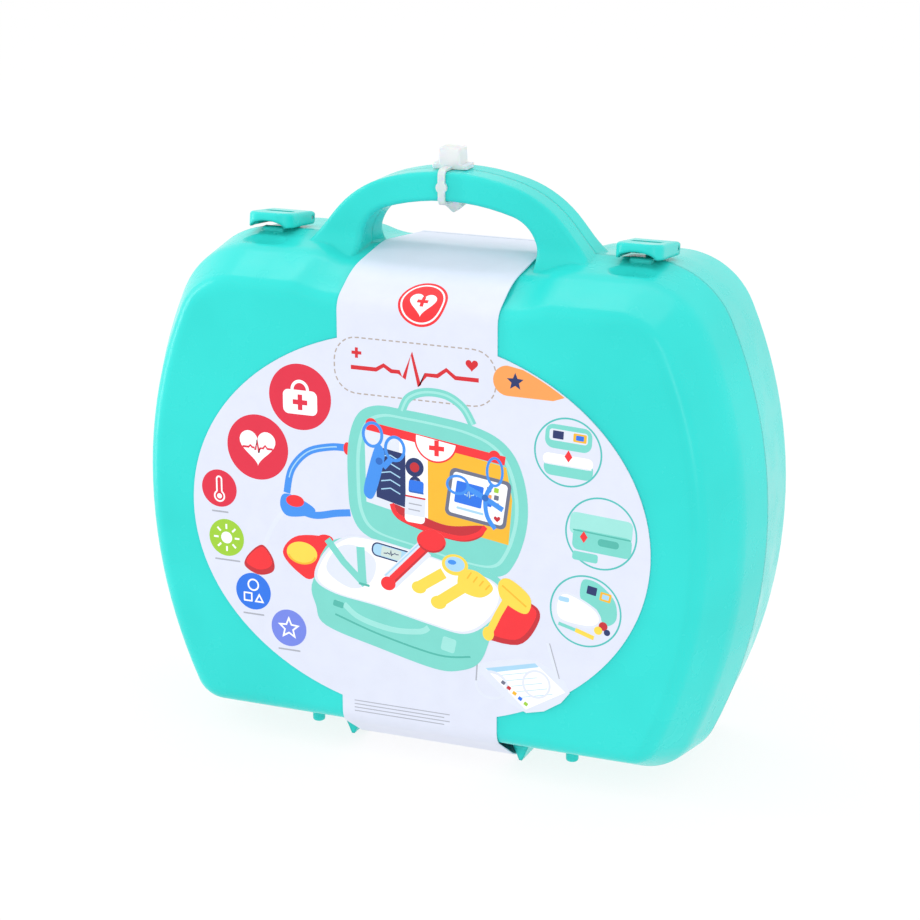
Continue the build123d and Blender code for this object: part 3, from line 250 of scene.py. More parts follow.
def coated_card(name, colour=None):
    """Clay-coated board with a thin varnish. With no colour of its own, it takes the ink attribute's."""
    material, tree, shader, place = start(name)
    if colour is None:
        tone = add(tree, "ShaderNodeAttribute", attribute_type="GEOMETRY", attribute_name="ink").outputs["Color"]
    else:
        tone = add(tree, "ShaderNodeRGB").outputs["Color"]
        tone.default_value = linear(colour)
    mottle = add(tree, "ShaderNodeTexNoise", {"Vector": place, "Scale": per_metre(MOTTLE_MM), "Detail": 6.0})
    shade = add(tree, "ShaderNodeMapRange", {"Value": mottle.outputs["Fac"], "From Min": 0.3, "From Max": 0.7,
                                             "To Min": 0.965, "To Max": 1.0})
    mixed = add(tree, "ShaderNodeVectorMath", {0: tone, 1: shade.outputs["Result"]}, operation="MULTIPLY")
    tree.links.new(mixed.outputs["Vector"], shader.inputs["Base Color"])
    fibre = add(tree, "ShaderNodeTexNoise", {"Vector": place, "Scale": per_metre(FIBRE_MM), "Detail": 3.0})
    wave = add(tree, "ShaderNodeTexNoise", {"Vector": place, "Scale": per_metre(WAVE_MM), "Detail": 1.0})
    fine = add(tree, "ShaderNodeBump", {"Height": fibre.outputs["Fac"], "Strength": 0.3,
                                        "Distance": FIBRE_HIGH_MM * MM})
    bump = add(tree, "ShaderNodeBump", {"Height": wave.outputs["Fac"], "Strength": 0.4, "Distance": WAVE_HIGH_MM * MM,
                                        "Normal": fine.outputs["Normal"]})
    tree.links.new(bump.outputs["Normal"], shader.inputs["Normal"])
    shader.inputs["Roughness"].default_value = 0.46
    shader.inputs["Specular IOR Level"].default_value = 0.35
    shader.inputs["Coat Weight"].default_value = 0.12
    shader.inputs["Coat Roughness"].default_value = 0.3
    return material


finish["sleeve_card"] = coated_card("coated_board_white", "#DBE0F0")
finish["board_card"] = coated_card("coated_board_teal", "#7ED9CF")
print_ink = coated_card("offset_ink_on_coated_board")
print("card finishes ready")

# %% Clear, foil, vinyl and steel
CLOUD_MM, RIPPLE_MM, RIPPLE_HIGH_MM = 6.0, 3.0, 0.03
WIRE_STRETCH = (0.04, 1, 1)


def special(name, colour, roughness, **sockets):
    """A finish whose gloss varies in soft clouds; further shader inputs are given by name."""
    material, tree, shader, place = start(name)
    cloud = add(tree, "ShaderNodeTexNoise", {"Vector": place, "Scale": per_metre(CLOUD_MM), "Detail": 4.0})
    gloss = add(tree, "ShaderNodeMapRange", {
        "Value": cloud.outputs["Fac"], "From Min": NOISE_LOW, "From Max": NOISE_HIGH,
        "To Min": roughness * 0.8, "To Max": roughness * 1.25})
    tree.links.new(gloss.outputs["Result"], shader.inputs["Roughness"])
    ripple = add(tree, "ShaderNodeTexNoise", {"Vector": place, "Scale": per_metre(RIPPLE_MM), "Detail": 2.0})
    bump = add(tree, "ShaderNodeBump", {"Height": ripple.outputs["Fac"], "Strength": 0.3,
                                        "Distance": RIPPLE_HIGH_MM * MM})
    tree.links.new(bump.outputs["Normal"], shader.inputs["Normal"])
    shader.inputs["Base Color"].default_value = linear(colour)
    for socket, value in sockets.items():
        shader.inputs[socket.replace("_", " ")].default_value = value
    return material


finish["clear_plastic"] = special("moulded_polystyrene_clear", "#F4F9FC", 0.05, IOR=1.59, Transmission_Weight=1.0)
finish["tie_plastic"] = special("flexible_polyethylene_cloudy", "#F6FBFD", 0.4, IOR=1.5, Transmission_Weight=0.35,
                                Subsurface_Weight=0.5, Subsurface_Scale=0.003)
finish["mirror_foil"] = special("silvered_foil", "#EDEFF2", 0.06, Metallic=1.0)
finish["tube_vinyl"] = special("soft_vinyl_white", "#E6EAEE", 0.38, IOR=1.53, Subsurface_Weight=0.15)
finish["pin_steel"] = special("drawn_steel_wire", "#BFC2C6", 0.28, Metallic=1.0)
steel = finish["pin_steel"].node_tree
for noise in [n for n in steel.nodes if n.type == "TEX_NOISE"]:
    stretched = add(steel, "ShaderNodeMapping", {"Vector": noise.inputs["Vector"].links[0].from_socket,
                                                 "Scale": WIRE_STRETCH})
    steel.links.new(stretched.outputs["Vector"], noise.inputs["Vector"])

for part in frame["record"]["subparts"]:
    node_object = bpy.data.objects.get(part["node"])
    if node_object:
        for slot in node_object.material_slots:
            slot.material = finish[part["material_slot"]]
tube_curve.materials.append(finish["tube_vinyl"])

# %% [markdown]
# ## Printing
# Offset ink is a skin about a hundredth of a millimetre thick. It could be an image, but here each printed shape is a
# flat closed plate: outlines are drawn in millimetres, given a colour attribute, made a few hundredths thick and then
# laid on the surface, also round its bends. Two plates at one height would flicker, so each plate goes one small step
# above the highest one that it covers.

# %% Drawing helpers
INK = {
    "red": "#DD2642", "deep_red": "#D3202B", "scarlet": "#EF2B33", "orange": "#F39E54", "lime": "#9CCC32",
    "blue": "#2472E4", "violet": "#7184E2", "ring": "#4FBDB8", "navy": "#1D2F66", "white": "#FAFBFF",
    "grey": "#8E9096", "pale": "#DDE3F0", "teal": "#78D2C7", "teal_light": "#9BE0D8", "teal_dark": "#4FB3A6",
    "yellow": "#FCD54B", "amber": "#F0B62A", "sky": "#A6D3EE", "tool_blue": "#3D8EEA", "tool_dark": "#2468C0",
    "cherry": "#C22530", "slate": "#6A6E84", "line": "#B3A79E", "caption": "#A9ADB9", "screen": "#C9DBD6",
}
STEP_MM, PLATE_MM = 0.003, 0.02


def disc(x, z, radius, high=None, first=0.0, last=360.0, steps=40):
    """Points round a circle or ellipse, or along a part of it."""
    high = high or radius
    count = steps if last - first >= 360 else steps + 1
    angles = [math.radians(first + (last - first) * i / steps) for i in range(count)]
    return [(x + radius * math.cos(a), z + high * math.sin(a)) for a in angles]


def block(x, z, wide, high, corner=0.0, tilt=0.0):
    """A rounded rectangle round X, Z, turned by tilt degrees."""
    corner = max(corner, 0.01)
    points = []
    for cx, cz, first in ((1, 1, 0), (-1, 1, 90), (-1, -1, 180), (1, -1, 270)):
        points += disc(cx * (wide / 2 - corner), cz * (high / 2 - corner), corner, first=first, last=first + 90,
                       steps=6)
    c, s = math.cos(math.radians(tilt)), math.sin(math.radians(tilt))
    return [(x + c * u - s * v, z + s * u + c * v) for u, v in points]


def smooth(points, steps=6, closed=True):
    """A soft curve through given points: a Catmull-Rom spline."""
    count = len(points)
    out = []
    for i in range(count if closed else count - 1):
        near = [points[(i + k) % count] if closed else points[min(max(i + k, 0), count - 1)] for k in (-1, 0, 1, 2)]
        for j in range(steps):
            t = j / steps
            out.append(tuple(0.5 * (2 * b + (c - a) * t + (2 * a - 5 * b + 4 * c - d) * t * t
                                    + (3 * b - a - 3 * c + d) * t ** 3) for a, b, c, d in zip(*near)))
    return out if closed else out + [points[-1]]


def stroke(points, width, closed=False):
    """A line of the given width along points, as quads with mitred corners."""
    count = len(points)
    left, right = [], []
    for i, (x, z) in enumerate(points):
        before = points[i - 1] if closed or i else points[0]
        after = points[(i + 1) % count] if closed or i < count - 1 else points[-1]
        along = Vector((after[0] - before[0], after[1] - before[1])).normalized()
        left.append((x - along.y * width / 2, z + along.x * width / 2))
        right.append((x + along.y * width / 2, z - along.x * width / 2))
    spans = range(count if closed else count - 1)
    return [[left[i], right[i], right[(i + 1) % count], left[(i + 1) % count]] for i in spans]


def inset(points, middle, wide, high):
    """An outline drawn in towards its middle, to these shares of its width and height."""
    return [(middle[0] + (x - middle[0]) * wide, middle[1] + (z - middle[1]) * high) for x, z in points]


def plus(x, z, size, bar):
    """A plus sign."""
    s, b = size / 2, bar / 2
    corners = ((b, s), (-b, s), (-b, b), (-s, b), (-s, -b), (-b, -b), (-b, -s), (b, -s), (b, -b), (s, -b), (s, b),
               (b, b))
    return [(x + u, z + v) for u, v in corners]


def heart(x, z, size):
    """A heart outline, from the usual heart curve, which is 32 units wide."""
    unit = size / 32
    points = []
    for a in (math.radians(a) for a in range(0, 360, 8)):
        up = 13 * math.cos(a) - 5 * math.cos(2 * a) - 2 * math.cos(3 * a) - math.cos(4 * a)
        points.append((x + unit * 16 * math.sin(a) ** 3, z + unit * up))
    return points


def star(x, z, size, inner=0.45):
    """A five-pointed star."""
    return [(x + size * (inner if i % 2 else 1) * math.sin(math.radians(36 * i)),
             z + size * (inner if i % 2 else 1) * math.cos(math.radians(36 * i))) for i in range(10)]


print("inks", len(INK))

# %% Laying plates on a surface
def on_wall(y_mm, side):
    """Lays X, Z on a flat wall at Y; side is -1 for a wall that faces the front, 1 for one that faces the back."""
    return lambda u, v, rise: (u, y_mm + side * rise, v)


laid = {}


def level(surface, faces):
    """The lowest free height, in steps, for faces on a surface, above all that they cover."""
    us, vs = [u for f in faces for u, v in f], [v for f in faces for u, v in f]
    box = (min(us), max(us), min(vs), max(vs))
    below = [h for (a, b, c, d), h in laid.setdefault(surface, [])
             if a < box[1] and b > box[0] and c < box[3] and d > box[2]]
    height = max(below, default=0) + 1
    laid[surface].append((box, height))
    return height


def print_on(name, body, drawing, lay, surface, cuts_u=(), cuts_v=()):
    """Makes one printed piece from a drawing, a list of (ink, layer, faces)."""
    made = bmesh.new()
    ink_layer = made.loops.layers.float_color.new("ink")
    for ink, layer, faces in sorted(drawing, key=lambda shape: shape[1]):
        faces = [faces] if isinstance(faces[0][0], (int, float)) else faces
        corners, plate, height = {}, [], level(surface, faces)
        for outline in faces:
            verts = []
            for u, v in outline:
                spot = (round(u, 4), round(v, 4))
                if spot not in corners:
                    corners[spot] = made.verts.new((u, v, height * STEP_MM + PLATE_MM))
                if corners[spot] not in verts:
                    verts.append(corners[spot])
            if len(verts) > 2:
                plate.append(made.faces.new(verts))
        grown = bmesh.ops.extrude_face_region(made, geom=plate, use_keep_orig=True)["geom"]
        bmesh.ops.translate(made, vec=(0, 0, -PLATE_MM), verts=[g for g in grown if isinstance(g, bmesh.types.BMVert)])
        for face in plate + [g for g in grown if isinstance(g, bmesh.types.BMFace)]:
            for loop in face.loops:
                loop[ink_layer] = linear(INK[ink])
    for axis, cuts in ((0, cuts_u), (1, cuts_v)):
        for cut in cuts:
            spot, way = [0, 0, 0], [0, 0, 0]
            spot[axis], way[axis] = cut, 1
            everything = made.verts[:] + made.edges[:] + made.faces[:]
            bmesh.ops.bisect_plane(made, geom=everything, plane_co=spot, plane_no=way)
    bmesh.ops.triangulate(made, faces=[f for f in made.faces if len(f.verts) > 4])
    for vert in made.verts:
        vert.co = [c * MM for c in lay(*vert.co)]
    bmesh.ops.recalc_face_normals(made, faces=made.faces)
    mesh = bpy.data.meshes.new(name)
    made.to_mesh(mesh)
    made.free()
    mesh.materials.append(print_ink)
    piece = bpy.data.objects.new(name, mesh)
    bpy.context.collection.objects.link(piece)
    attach(piece, body)
    print(name, len(drawing), "shapes", len(mesh.polygons), "faces, top step", max(h for _, h in laid[surface]))
    return piece


# %% [markdown]
# ## The sleeve's front
# The card's face is flat up to its brow and then bends back to the handle in one arc and a short straight slope. The
# prints are drawn as if the card were flat, with height measured along it, and the same bend carries them round.

# %% The card's bend
FACE_Y, BEND_START, BEND_RADIUS, BEND_TURN = -45.7, 186.68, 7.75, math.radians(57.6)
MEASURE_RADIUS = 7.5  # height along the card is measured here, inside its thickness
BEND_LENGTH = MEASURE_RADIUS * BEND_TURN
BEND_CUTS = [184 + 0.8 * i for i in range(26)]


def on_sleeve(u, v, rise):
    """Lays X and the height along the card on the sleeve's front and brow."""
    if v <= BEND_START:
        return u, FACE_Y - rise, v
    angle = min((v - BEND_START) / MEASURE_RADIUS, BEND_TURN)
    beyond = max(0.0, v - BEND_START - BEND_LENGTH)
    reach = BEND_RADIUS + rise
    y = FACE_Y + BEND_RADIUS - reach * math.cos(angle) + beyond * math.sin(angle)
    return u, y, BEND_START + reach * math.sin(angle) + beyond * math.cos(angle)


print("brow bend starts", BEND_START, "and turns", round(math.degrees(BEND_TURN)), "degrees")

# %% Emblem, title panel, tab and discs
def pulse(x, z, wide, high):
    """The points of a heartbeat trace."""
    shape = ((0, 0), (0.2, 0), (0.26, 0.25), (0.32, 0), (0.38, 0), (0.42, -0.3), (0.48, 1), (0.54, -0.6), (0.59, 0),
             (0.68, 0), (0.75, 0.35), (0.82, 0), (1, 0))
    return [(x - wide / 2 + wide * a, z + high * b) for a, b in shape]


EMBLEM = (3.0, 193.4)
emblem = [("scarlet", 0, disc(*EMBLEM, 10.0)), ("white", 1, stroke(disc(*EMBLEM, 8.6), 0.7, closed=True)),
          ("white", 1, heart(EMBLEM[0], 193.2, 11.0)), ("scarlet", 2, plus(EMBLEM[0], 193.6, 4.6, 1.5))]
print_on("print_emblem", "front_half", emblem, on_sleeve, "sleeve", cuts_v=BEND_CUTS)

WING_MIDDLE, WING_HALF_WIDTH, WING_HALF_HEIGHT, MARGIN, TAB_END = 100.8, 98, 79.4, 0.3, 64
edge = [(WING_HALF_WIDTH * math.cos(math.radians(a)) - MARGIN,
         WING_MIDDLE + WING_HALF_HEIGHT * math.sin(math.radians(a)) - MARGIN) for a in range(50, 64, 2)]
tab = disc(39.4, 165.7, 6.0, first=90, last=270, steps=16) + [(58, 159.6)] + edge
TITLE = (0.5, 165.4)
title = [
    ("deep_red", 1, stroke(pulse(0.5, 164.6, 54, 8.0), 1.7)),
    ("deep_red", 1, plus(-24.0, 170.6, 4.2, 1.3)), ("deep_red", 1, heart(24.6, 170.4, 5.2)),
    ("orange", 1, [p for p in tab if p[0] < TAB_END]), ("navy", 2, star(42.5, 165.6, 3.6)),
]
print_on("print_title", "front_half", title, on_sleeve, "sleeve")

discs = [
    ("red", 1, disc(-48.9, 150.0, 13.6, steps=64)), ("red", 1, disc(-68.2, 127.1, 13.6, steps=64)),
    ("white", 2, block(-48.9, 147.8, 15.0, 10.0, 2.4)), ("red", 3, plus(-48.9, 147.8, 6.4, 2.0)),
    ("white", 2, stroke(disc(-48.9, 152.8, 3.4, 3.6, 0, 180, 20), 1.3)),
    ("white", 2, heart(-68.2, 127.8, 16.0)), ("red", 3, stroke(pulse(-68.2, 126.8, 13.5, 3.4), 0.9)),
]
print_on("print_discs", "front_half", discs, on_sleeve, "sleeve")

# %% Four round pictograms down the left
bulb = (-86.1, 104.4)
pictograms = [("red", 1, disc(-86.1, 107.7, 7.9)), ("lime", 1, disc(-83.4, 86.9, 7.9)),
              ("blue", 1, disc(-71.8, 65.2, 7.9)), ("violet", 1, disc(-56.0, 51.5, 7.9)),
              ("white", 2, stroke(disc(*bulb, 2.2, first=-240, last=60, steps=24), 0.7)),
              ("white", 2, disc(*bulb, 1.1)),
              ("white", 2, stroke([(-87.2, 106.3), (-87.2, 111.6)] + disc(-86.1, 111.6, 1.1, first=180, last=0, steps=8)
                                  + [(-85.0, 106.3)], 0.7)),
              ("white", 2, disc(-83.4, 86.9, 2.5)), ("white", 2, block(-74.3, 62.6, 4.0, 4.0, 0.3)),
              ("blue", 3, block(-74.3, 62.6, 2.7, 2.7, 0.2)),
              ("white", 2, [(-71.4, 60.6), (-67.0, 60.6), (-69.2, 64.6)]),
              ("blue", 3, [(-70.3, 61.3), (-68.1, 61.3), (-69.2, 63.3)]),
              ("white", 2, stroke(disc(-71.8, 68.0, 2.3, steps=24), 0.7, closed=True)),
              ("white", 2, star(-56.0, 51.4, 5.2)), ("violet", 3, star(-56.0, 51.4, 3.4))]
for i in range(8):
    c, s = math.cos(math.radians(45 * i)), math.sin(math.radians(45 * i))
    pictograms.append(("white", 2, stroke([(-83.4 + 3.7 * c, 86.9 + 3.7 * s), (-83.4 + 5.8 * c, 86.9 + 5.8 * s)], 0.8)))
for x, z, wide in ((-86.0, 97.8, 7.5), (-83.2, 77.3, 11.5), (-71.9, 55.4, 9.5), (-56.0, 42.0, 10.0)):
    pictograms.append(("caption", 1, block(x, z, wide, 0.7, 0.3)))
print_on("print_pictograms", "front_half", pictograms, on_sleeve, "sleeve")

# %% [markdown]
# ## The open case on the sleeve
# The card carries a picture of an open case with its play tools. Here it is our own flat design: a few soft outlines,
# each through listed points, in the colours of the toy itself. Shapes further forward get a higher layer.

# %% The stethoscope, the spectacles and the chart beside it
# The stethoscope's arm comes round from its ear tip, and its short tube ends in the chest piece.
arm = smooth([(-28.6, 131.2), (-36, 130.8), (-46.0, 127.6), (-53.2, 119.6), (-55.6, 109.4)], closed=False)
beside = [
    ("tool_blue", 1, stroke(arm, 3.0)), ("sky", 2, stroke(arm[4:-4], 0.5)),
    ("scarlet", 2, disc(-28.6, 131.0, 1.6, 2.6)),
    ("tool_blue", 1, stroke(smooth([(-54.0, 104.0), (-44.0, 101.4), (-34.0, 103.4), (-27.6, 104.4)], closed=False),
                            3.0)),
    ("tool_blue", 2, smooth([(-58.6, 103.4), (-57.4, 108.6), (-52.0, 108.4), (-43.6, 104.4), (-45.0, 101.4),
                             (-55.0, 99.6)])),
    ("scarlet", 3, disc(-52.0, 106.4, 4.0, 2.5)),
    ("pale", 1, stroke(smooth([(-57.8, 100.6), (-62, 95.0), (-66.6, 84.8)], closed=False), 1.9)),
    ("cherry", 2, smooth([(-70.2, 84.4), (-66.4, 85.6), (-62.4, 80.2), (-62.6, 75.0), (-69.0, 72.8), (-75.2, 75.6),
                          (-74.6, 79.6)])),
    ("scarlet", 3, smooth([(-70.0, 83.6), (-66.6, 84.8), (-63.2, 80.0), (-64.0, 76.8), (-69.0, 75.0), (-74.2, 77.0),
                           (-73.8, 79.8)])),
    # the chart card and the spectacles on it
    ("pale", 1, smooth([(28, 45), (30, 49.2), (52.0, 53.0), (66.0, 41.6), (47.8, 30.4)], steps=3)),
    ("white", 2, [(30.4, 46.6), (51.4, 52.0), (64.2, 41.6), (47.6, 31.8)]),
    ("sky", 3, [(30.4, 46.8), (51.4, 52.0), (53.0, 50.6), (32.6, 45.2)]),
    ("pale", 4, stroke(disc(52.0, 43.2, 5.6, steps=28), 0.9, closed=True)),
    ("pale", 4, stroke(disc(33.0, 40.0, 6.6, 5.6, steps=28), 1.2, closed=True)),
    ("caption", 5, stroke([(26.4, 41.0), (27.6, 58.6)], 0.6)), ("pale", 4, stroke([(27.2, 41.0), (28.4, 58.6)], 1.4)),
    ("pale", 4, stroke([(60.8, 47.0), (56.6, 61.2)], 1.4)), ("caption", 5, stroke([(61.6, 47.0), (57.4, 61.2)], 0.4)),
]
for i, ink in enumerate(("slate", "cherry", "amber", "blue", "lime")):
    beside.append((ink, 5, block(38.0 + 2.4 * i, 41.8 - 1.9 * i, 1.7, 1.5, 0.2, -30)))
for i in range(5):
    beside.append(("sky", 3, stroke([(37.0 + 2.2 * i, 44.8 - 2.0 * i), (50.0 + 2.2 * i, 48.0 - 2.0 * i)], 0.25)))
print_on("print_stethoscope", "front_half", beside, on_sleeve, "sleeve")

# %% The open case: lid, boards and wall tools
lid = [(-27, 104), (-28.5, 118), (-28, 134), (-24, 145.5), (-16, 150), (-4, 149.6), (10, 148.4), (24, 146.4), (36, 142),
       (43.5, 134), (47.5, 121), (47.5, 107), (43, 93), (36, 86), (20, 87), (0, 91), (-20, 95.5)]
handle = smooth([(-5, 149), (-2, 154.6), (5, 157.6), (14, 157.2), (21, 153), (25, 146.5)], closed=False)
picture = [
    # the shell, its rim and its handle
    ("teal", 1, smooth(lid)), ("teal_light", 2, smooth(inset(lid, (9.5, 118.5), 0.90, 0.90))),
    ("teal", 3, smooth(inset(lid, (9.5, 117.8), 0.86, 0.87))),
    ("teal", 1, stroke(handle, 3.4)), ("teal_light", 2, stroke(handle, 1.0)),
    # the printed board and its two screens
    ("pale", 4, [(-21, 140), (-6, 138.5), (-6, 107), (-20.5, 110)]),
    ("navy", 5, [(-16.5, 133.5), (-3.5, 131.5), (-3.5, 109.5), (-16, 112.5)]),
    ("white", 4, [(-6, 138.5), (6, 137), (6, 105.5), (-6, 107)]),
    ("amber", 4, [(6, 137), (39, 131), (41.5, 118), (40, 99.5), (24, 102), (6, 105.5)]),
    ("slate", 5, block(27.2, 117.0, 26.0, 20.0, 2.5, -8)), ("white", 6, block(27.2, 117.0, 23.0, 17.0, 1.5, -8)),
    ("blue", 7, block(23.4, 118.2, 11.5, 9.0, 0.6, -8)), ("sky", 8, stroke(pulse(23.4, 118.0, 10.0, 2.6), 0.5)),
    ("sky", 7, block(23.8, 111.6, 11.5, 1.0, 0.4, -8)), ("cherry", 7, heart(35.2, 109.6, 2.8)),
    # the hook rail with its badge and ends, and the round buttons below it
    ("scarlet", 7, stroke([(-20, 141.5), (38.5, 133.5)], 3.6)),
    ("white", 8, disc(9.5, 138.6, 8.8, first=-190, last=-8, steps=30)),
    ("scarlet", 9, stroke(disc(9.5, 138.6, 8.8, first=-190, last=-8, steps=30), 0.7)),
    ("scarlet", 9, plus(9.8, 135.4, 6.4, 1.9)),
    ("scarlet", 8, disc(-18.0, 142.2, 2.5)), ("scarlet", 8, disc(34.0, 134.8, 2.5)),
    ("navy", 5, disc(0.4, 126.6, 3.9)), ("navy", 5, disc(0.6, 120.4, 2.5)), ("navy", 5, disc(0.8, 116.0, 2.3)),
    ("cherry", 6, disc(0.4, 126.6, 2.0)), ("slate", 6, disc(0.6, 120.4, 1.2)),
]
for i in range(5):
    picture.append(("sky", 6, stroke([(-14.0, 129.6 - 3.4 * i), (-10.0, 130.4 - 3.4 * i), (-5.8, 128.4 - 3.4 * i)],
                                     0.5)))
for i in range(6):
    picture.append((("slate", "lime", "orange", "slate", "blue", "slate")[i], 7,
                    block(31.9 + 3.0 * (i % 2), 121.2 - 3.0 * (i // 2), 2.0, 2.0, 0.3, -8)))
picture += [
    # scissors
    ("tool_blue", 10, stroke(disc(-17.5, 138.0, 4.0, 4.8, steps=28), 1.3, closed=True)),
    ("tool_blue", 10, stroke(disc(-8.0, 133.2, 4.0, 4.8, steps=28), 1.3, closed=True)),
    ("tool_blue", 10, smooth([(-16, 134), (-12.5, 131.5), (-13.5, 124), (-17.5, 112), (-21.5, 113.5), (-20, 122)])),
    ("tool_blue", 10, stroke([(-9.5, 129), (-13, 125)], 2.4)), ("tool_dark", 11, disc(-14.8, 127.4, 1.5)),
    # forceps
    ("tool_blue", 10, stroke(disc(34.2, 128.6, 3.2, 5.6, steps=28), 1.1, closed=True)),
    ("tool_blue", 10, stroke(disc(18.6, 121.6, 4.4, 3.6, steps=28), 1.1, closed=True)),
    ("tool_blue", 10, stroke([(22.6, 121.0), (30.0, 117.6), (37.6, 113.6)], 2.2)),
    ("tool_blue", 10, stroke(smooth([(33.2, 123.4), (30.4, 117.8), (31.0, 110.5), (34.4, 105.4)], closed=False), 1.8)),
    ("tool_dark", 11, disc(30.2, 117.6, 1.4)),
    # shelf tray, then the bottle that stands in it
    ("cherry", 10, smooth([(-9.5, 110.5), (-7.0, 104.5), (6.0, 100.4), (20.0, 98.4), (28.0, 101.0), (30.5, 105.4),
                           (27.5, 106.0), (14.0, 104.4), (0.0, 108.0)])),
    ("scarlet", 11, stroke(smooth([(-9.5, 110.5), (-6.6, 105.6), (6.0, 101.6), (19.0, 99.8), (27.0, 102.2),
                                   (30.4, 105.8)], closed=False), 2.0)),
    ("white", 12, block(0.6, 110.4, 8.6, 13.4, 1.8, -3)), ("pale", 13, block(0.5, 110.4, 8.6, 7.6, 0.3, -3)),
    ("deep_red", 14, stroke([(-3.6, 114.6), (5.0, 114.0)], 0.7)),
    ("caption", 14, stroke([(-2.2, 111.6), (3.4, 111.2)], 0.5)),
    ("caption", 14, stroke([(-2.4, 109.2), (2.6, 108.8)], 0.5)),
    ("blue", 13, block(1.0, 118.6, 6.4, 5.2, 1.0, -3)), ("tool_dark", 14, stroke([(-2.0, 116.6), (4.2, 116.2)], 0.8)),
]
print_on("print_case_lid", "front_half", picture, on_sleeve, "sleeve")

# %% The open case: base, worktop, trays and play tools
base = [(-44.5, 74), (-43.5, 63), (-39, 55), (-15, 48.5), (8, 43.4), (19, 44), (28, 49), (33, 62), (38, 80), (28, 88),
        (-30, 94)]
top = [(-43.8, 74.5), (-41, 84), (-33, 92.5), (-23, 95.2), (0, 92), (20, 87.6), (34, 83.6), (37.4, 77), (32, 66.5),
       (21.5, 60), (6, 62), (-16, 66.5), (-35, 69.4)]
lower = [
    # the two side trays, swung out, and the round box in the left one
    ("scarlet", 1, smooth([(-58, 84), (-50.5, 92), (-34, 91), (-44, 75), (-51, 76)])),
    ("yellow", 3, disc(-49.4, 84.6, 6.8, 4.8)),
    ("amber", 4, stroke(disc(-49.4, 84.2, 6.0, 4.0, 190, 350, 20), 0.8)), ("scarlet", 2, disc(-38.8, 92.0, 3.4, 1.8)),
    ("cherry", 1, smooth([(25, 62.5), (34, 77.5), (50, 76.5), (53.0, 70), (44, 58.6)])),
    ("scarlet", 2, smooth([(26.5, 64.5), (34, 76.8), (49, 75.8), (51.4, 70.6), (43, 60.6)])),
    # the base with its handle and latches
    ("teal", 5, smooth(base)),
    ("teal_dark", 6, stroke(smooth([(-35, 60.5), (-15, 54.4), (10, 49.4), (24, 50.6)], closed=False), 0.8)),
    ("teal_light", 6, stroke(smooth([(-31, 65.4), (-24, 60.4), (-10, 57.4), (2, 58.2), (6, 60.4)], closed=False), 2.4)),
    ("teal_dark", 7, block(-33.5, 65.0, 4.6, 2.6, 0.6, -12)), ("teal_light", 6, block(14.6, 54.4, 6.0, 6.0, 1.0, -12)),
    # the worktop and its bowl, and the tweezers that lie across it
    ("pale", 8, smooth(top)), ("white", 9, smooth(inset(top, (-2.5, 78.8), 0.965, 0.95))),
    ("pale", 10, smooth([(-38.5, 79), (-34, 88.5), (-26, 91), (-17, 86), (-19, 76.5), (-28, 72.6)])),
    ("teal", 12, stroke([(-38.0, 92.0), (-31.0, 83.4), (-21.6, 74.8)], 3.0)),
    ("teal", 13, stroke([(-22.6, 74.8), (-23.4, 90.6)], 3.6)),
    ("teal_dark", 14, stroke([(-24.2, 75.2), (-19.6, 74.6)], 1.0)),
    # the fever gauge, then the syringe
    ("navy", 10, block(-9.8, 89.6, 17.5, 6.0, 2.6, -9)), ("sky", 11, block(-9.8, 89.6, 16.2, 4.8, 2.0, -9)),
    ("screen", 12, block(-10.0, 89.6, 8.6, 4.2, 0.5, -9)), ("navy", 13, stroke(pulse(-10.0, 89.4, 6.5, 1.5), 0.4)),
    ("pale", 12, stroke([(-10.8, 77.6), (4.6, 93.6)], 7.4)), ("sky", 13, stroke([(-12.6, 80.0), (2.6, 95.6)], 0.6)),
    ("scarlet", 14, stroke([(-9.6, 78.6), (5.4, 94.4)], 3.6)), ("cherry", 15, stroke([(-8.4, 78.2), (6.4, 93.6)], 0.7)),
    ("scarlet", 15, disc(7.4, 97.0, 6.2, 4.6)), ("cherry", 16, stroke(disc(7.4, 96.6, 5.6, 4.0, 200, 350, 20), 0.8)),
    ("scarlet", 15, disc(-11.4, 76.8, 3.2, 2.9)),
    # the mouth mirror, then the fork
    ("yellow", 12, stroke([(1.4, 76.8), (12.6, 84.4)], 4.6)), ("yellow", 12, disc(2.0, 77.0, 3.2, 2.6)),
    ("yellow", 12, disc(17.4, 88.4, 5.6, 4.4)), ("sky", 13, disc(17.4, 88.7, 4.2, 3.1)),
    ("tool_blue", 14, disc(16.2, 89.4, 1.8, 1.0)),
    ("yellow", 12, stroke([(10.0, 71.6), (21.4, 80.0)], 4.8)), ("yellow", 12, disc(10.4, 71.8, 3.4, 2.8)),
    ("yellow", 13, smooth([(18.6, 80.0), (20.0, 86.4), (27.0, 86.8), (33.6, 81.0), (29.0, 76.4), (22.4, 77.0)])),
]
for i in range(4):
    lower.append(("amber", 14, stroke([(22.6 + 2.6 * i, 83.4 - 1.2 * i), (24.4 + 2.6 * i, 86.2 - 1.4 * i)], 0.6)))
lower += [
    # the reflex hammer
    ("yellow", 9, stroke([(31.6, 61.4), (35.6, 70.0), (39.2, 76.6)], 3.0)), ("yellow", 9, disc(31.6, 61.6, 2.4, 3.0)),
    ("yellow", 10, smooth([(36.0, 83.6), (40.6, 85.6), (49.0, 79.4), (48.6, 73.0), (44.6, 72.4), (37.0, 77.0)])),
    ("amber", 11, stroke([(37.4, 82.6), (47.6, 75.0)], 0.7)),
]
print_on("print_case_base", "front_half", lower, on_sleeve, "sleeve")

